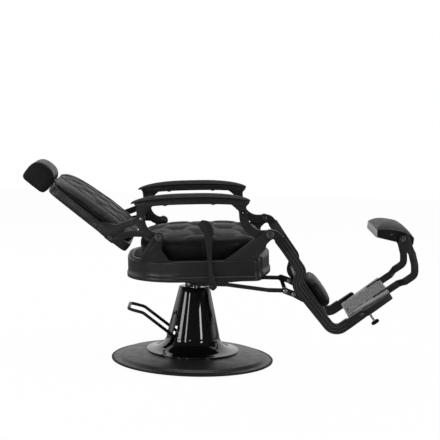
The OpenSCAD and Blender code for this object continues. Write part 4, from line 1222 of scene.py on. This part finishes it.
def make_arm_pad(side, sign):
    """A round bar on its side, drawn along its length into the pad's sections."""
    rows, around = 96, 72
    bpy.ops.object.select_all(action="DESELECT")
    bpy.ops.mesh.primitive_cylinder_add(vertices=around, radius=1, depth=2, end_fill_type="TRIFAN",
                                        rotation=(0, math.pi / 2, 0))
    obj = bpy.context.object
    obj.name = "arm_cover_" + side
    settle(obj)
    edit(obj, "EDGE")
    mesh = bmesh.from_edit_mesh(obj.data)
    long_edges = [e for e in mesh.edges if abs(e.verts[0].co.x - e.verts[1].co.x) > 1]
    bmesh.ops.subdivide_edges(mesh, edges=long_edges, cuts=rows - 2, use_grid_fill=True)
    bmesh.update_edit_mesh(obj.data)
    object_mode()
    middle = (PAD_X[0] + PAD_X[1]) / 2
    half = (PAD_X[1] - PAD_X[0]) / 2
    for vertex in obj.data.vertices:
        t = math.sin(vertex.co.x * math.pi / 2)
        radius = math.hypot(vertex.co.y, vertex.co.z)
        angle = math.atan2(vertex.co.z, vertex.co.y)
        c, v = math.cos(angle), math.sin(angle)
        x = middle + half * t
        taper = max(0, 1 - abs(t) ** 6) ** 0.5
        width = 0.0262 * (0.5 + 0.5 * taper)
        crown = 0.0035 + 0.0205 * max(0, 1 - abs(t) ** 3) ** 0.6
        rise = max(0, v) ** 0.75
        groove = 0.0030 * taper * math.exp(-((rise - 0.16) / 0.07) ** 2)
        ridge = 0.0022 * taper * math.exp(-((rise - 0.40) / 0.11) ** 2)
        reach = width * (1 - 0.12 * max(0, v)) + ridge - groove
        flute = 0.0009 * taper * (0.5 + 0.5 * math.cos(c * 7 * math.pi)) if rise > 0.6 else 0
        y = reach * c * radius
        z = RAIL_TOP + arm_arch(x) + (crown * rise - flute) * radius
        vertex.co = (x, y + sign * ARM_MID, z)
    refine_net(obj)
    set_in_place(obj, seat_frame())
    outward(obj)
    give(obj, ARM_LEATHER, "arm_" + side)
    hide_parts("arm_pad_" + side)


make_seat_cushion()
make_back_cushion()
make_small_pads()
make_foot_pad()
make_arm_pad("right", -1)
make_arm_pad("left", 1)


# ---- Stage: floor, lamps and camera ---------------------------------------------------------

FLOOR_TONE = 0.93


def make_stage():
    """A pale floor that shows white to the camera and keeps the object's shadow."""
    bpy.ops.object.select_all(action="DESELECT")
    bpy.ops.mesh.primitive_plane_add(size=14, location=(0, 0, -0.0005))
    floor = bpy.context.object
    floor.name = "studio_floor"
    settle(floor)
    material, tree, shader = new_material("studio_white", grey(FLOOR_TONE), 0, 0.0)
    shader.inputs["Roughness"].default_value = 0.9
    two_tone(tree, shader, noise(tree, place(tree), 3, 2), grey(FLOOR_TONE),
             grey(FLOOR_TONE + 0.01))
    path = add(tree, "ShaderNodeLightPath")
    glow = add(tree, "ShaderNodeEmission", Strength=1.0)
    dim = add(tree, "ShaderNodeEmission", Strength=0.18)
    shaded = add(tree, "ShaderNodeMixShader", Fac=0.975)
    tree.links.new(shader.outputs["BSDF"], shaded.inputs[1])
    tree.links.new(glow.outputs["Emission"], shaded.inputs[2])
    mirrored = add(tree, "ShaderNodeMixShader")
    tree.links.new(path.outputs["Is Glossy Ray"], mirrored.inputs["Fac"])
    tree.links.new(shader.outputs["BSDF"], mirrored.inputs[1])
    tree.links.new(dim.outputs["Emission"], mirrored.inputs[2])
    choose = add(tree, "ShaderNodeMixShader")
    tree.links.new(path.outputs["Is Camera Ray"], choose.inputs["Fac"])
    tree.links.new(mirrored.outputs["Shader"], choose.inputs[1])
    tree.links.new(shaded.outputs["Shader"], choose.inputs[2])
    tree.links.new(choose.outputs["Shader"], tree.nodes["Material Output"].inputs["Surface"])
    floor.data.materials.append(material)


def combine(tree, operation, first, second):
    node = add(tree, "ShaderNodeMath", operation=operation)
    tree.links.new(first, node.inputs[0])
    tree.links.new(second, node.inputs[1])
    return node.outputs["Value"]


def make_world():
    """White behind the chair, and a dim studio behind the camera."""
    world = bpy.data.worlds.new("studio")
    bpy.context.scene.world = world
    world.use_nodes = True
    tree = world.node_tree
    background = tree.nodes["Background"]
    background.inputs["Color"].default_value = (1, 1, 1, 1)
    white = add(tree, "ShaderNodeBackground", Color=(1, 1, 1, 1), Strength=1.0)
    path = add(tree, "ShaderNodeLightPath")
    tree.links.new(spread(tree, path.outputs["Is Glossy Ray"], 0.34, 0.06, 0, 1),
                   background.inputs["Strength"])
    coordinate = add(tree, "ShaderNodeTexCoord")
    split = add(tree, "ShaderNodeSeparateXYZ")
    tree.links.new(coordinate.outputs["Generated"], split.inputs["Vector"])
    behind = spread(tree, split.outputs["Y"], 0.0, 0.8, 0.0, 0.4)
    glossy = combine(tree, "MULTIPLY", path.outputs["Is Glossy Ray"], behind)
    seen = combine(tree, "MAXIMUM", path.outputs["Is Camera Ray"], glossy)
    mix = add(tree, "ShaderNodeMixShader")
    tree.links.new(combine(tree, "MAXIMUM", seen, path.outputs["Is Transmission Ray"]),
                   mix.inputs["Fac"])
    tree.links.new(background.outputs["Background"], mix.inputs[1])
    tree.links.new(white.outputs["Background"], mix.inputs[2])
    tree.links.new(mix.outputs["Shader"], tree.nodes["World Output"].inputs["Surface"])


def softbox(name, place_at, aim, width, height, power, mirrored=True):
    lamp = bpy.data.lights.new(name, "AREA")
    lamp.shape = "RECTANGLE"
    lamp.size = width
    lamp.size_y = height
    lamp.energy = power
    obj = bpy.data.objects.new(name, lamp)
    bpy.context.scene.collection.objects.link(obj)
    obj.location = place_at
    obj.rotation_euler = (Vector(aim) - Vector(place_at)).to_track_quat("-Z", "Y").to_euler()
    obj.visible_glossy = mirrored


def make_lights():
    softbox("top_box", (0.2, -0.6, 3.4), (0.1, 0, 0.4), 3.0, 2.0, 44)
    softbox("left_far", (-3.5, -1.9, 1.0), (0, 0, 0.4), 1.1, 1.4, 24)
    softbox("left_near", (-2.3, -3.7, 1.0), (0, 0, 0.4), 0.4, 1.4, 12)
    softbox("right_near", (2.65, -3.4, 1.25), (0, 0, 0.4), 0.6, 1.2, 18)
    softbox("low_front", (-1.19, -5.3, 0.37), (-0.58, -0.244, 0.8), 0.45, 0.45, 7)
    softbox("left_wall", (-3.8, 0.3, 1.2), (0, 0, 0.5), 1.5, 1.5, 30, False)
    softbox("right_wall", (3.8, 0.3, 1.2), (0, 0, 0.5), 1.5, 1.5, 30, False)
    softbox("back_rim", (-1.5, 3.2, 2.2), (0, 0, 0.5), 2.4, 1.4, 34, False)


CAMERA_PLACE = (0.0261, -5.5005, 1.2303)
CAMERA_YAW = -0.720
CAMERA_PITCH = 6.7188
CAMERA_ROLL = 1.8278
CAMERA_LENS = 111.77


def make_camera():
    data = bpy.data.cameras.new("camera")
    data.sensor_width = 36
    data.lens = CAMERA_LENS
    camera = bpy.data.objects.new("camera", data)
    bpy.context.scene.collection.objects.link(camera)
    yaw = math.radians(CAMERA_YAW)
    pitch = math.radians(CAMERA_PITCH)
    roll = math.radians(CAMERA_ROLL)
    turn = Matrix.Rotation(yaw, 3, "Z")
    ahead = turn @ Vector((0, math.cos(pitch), -math.sin(pitch)))
    right = turn @ Vector((1, 0, 0))
    up = right.cross(ahead)
    right_rolled = math.cos(roll) * right + math.sin(roll) * up
    up_rolled = -math.sin(roll) * right + math.cos(roll) * up
    basis = Matrix((right_rolled, up_rolled, -ahead)).transposed().to_4x4()
    camera.matrix_world = Matrix.Translation(CAMERA_PLACE) @ basis
    bpy.context.scene.camera = camera


make_stage()
make_world()
make_lights()
make_camera()
bpy.context.scene.view_settings.view_transform = "Standard"
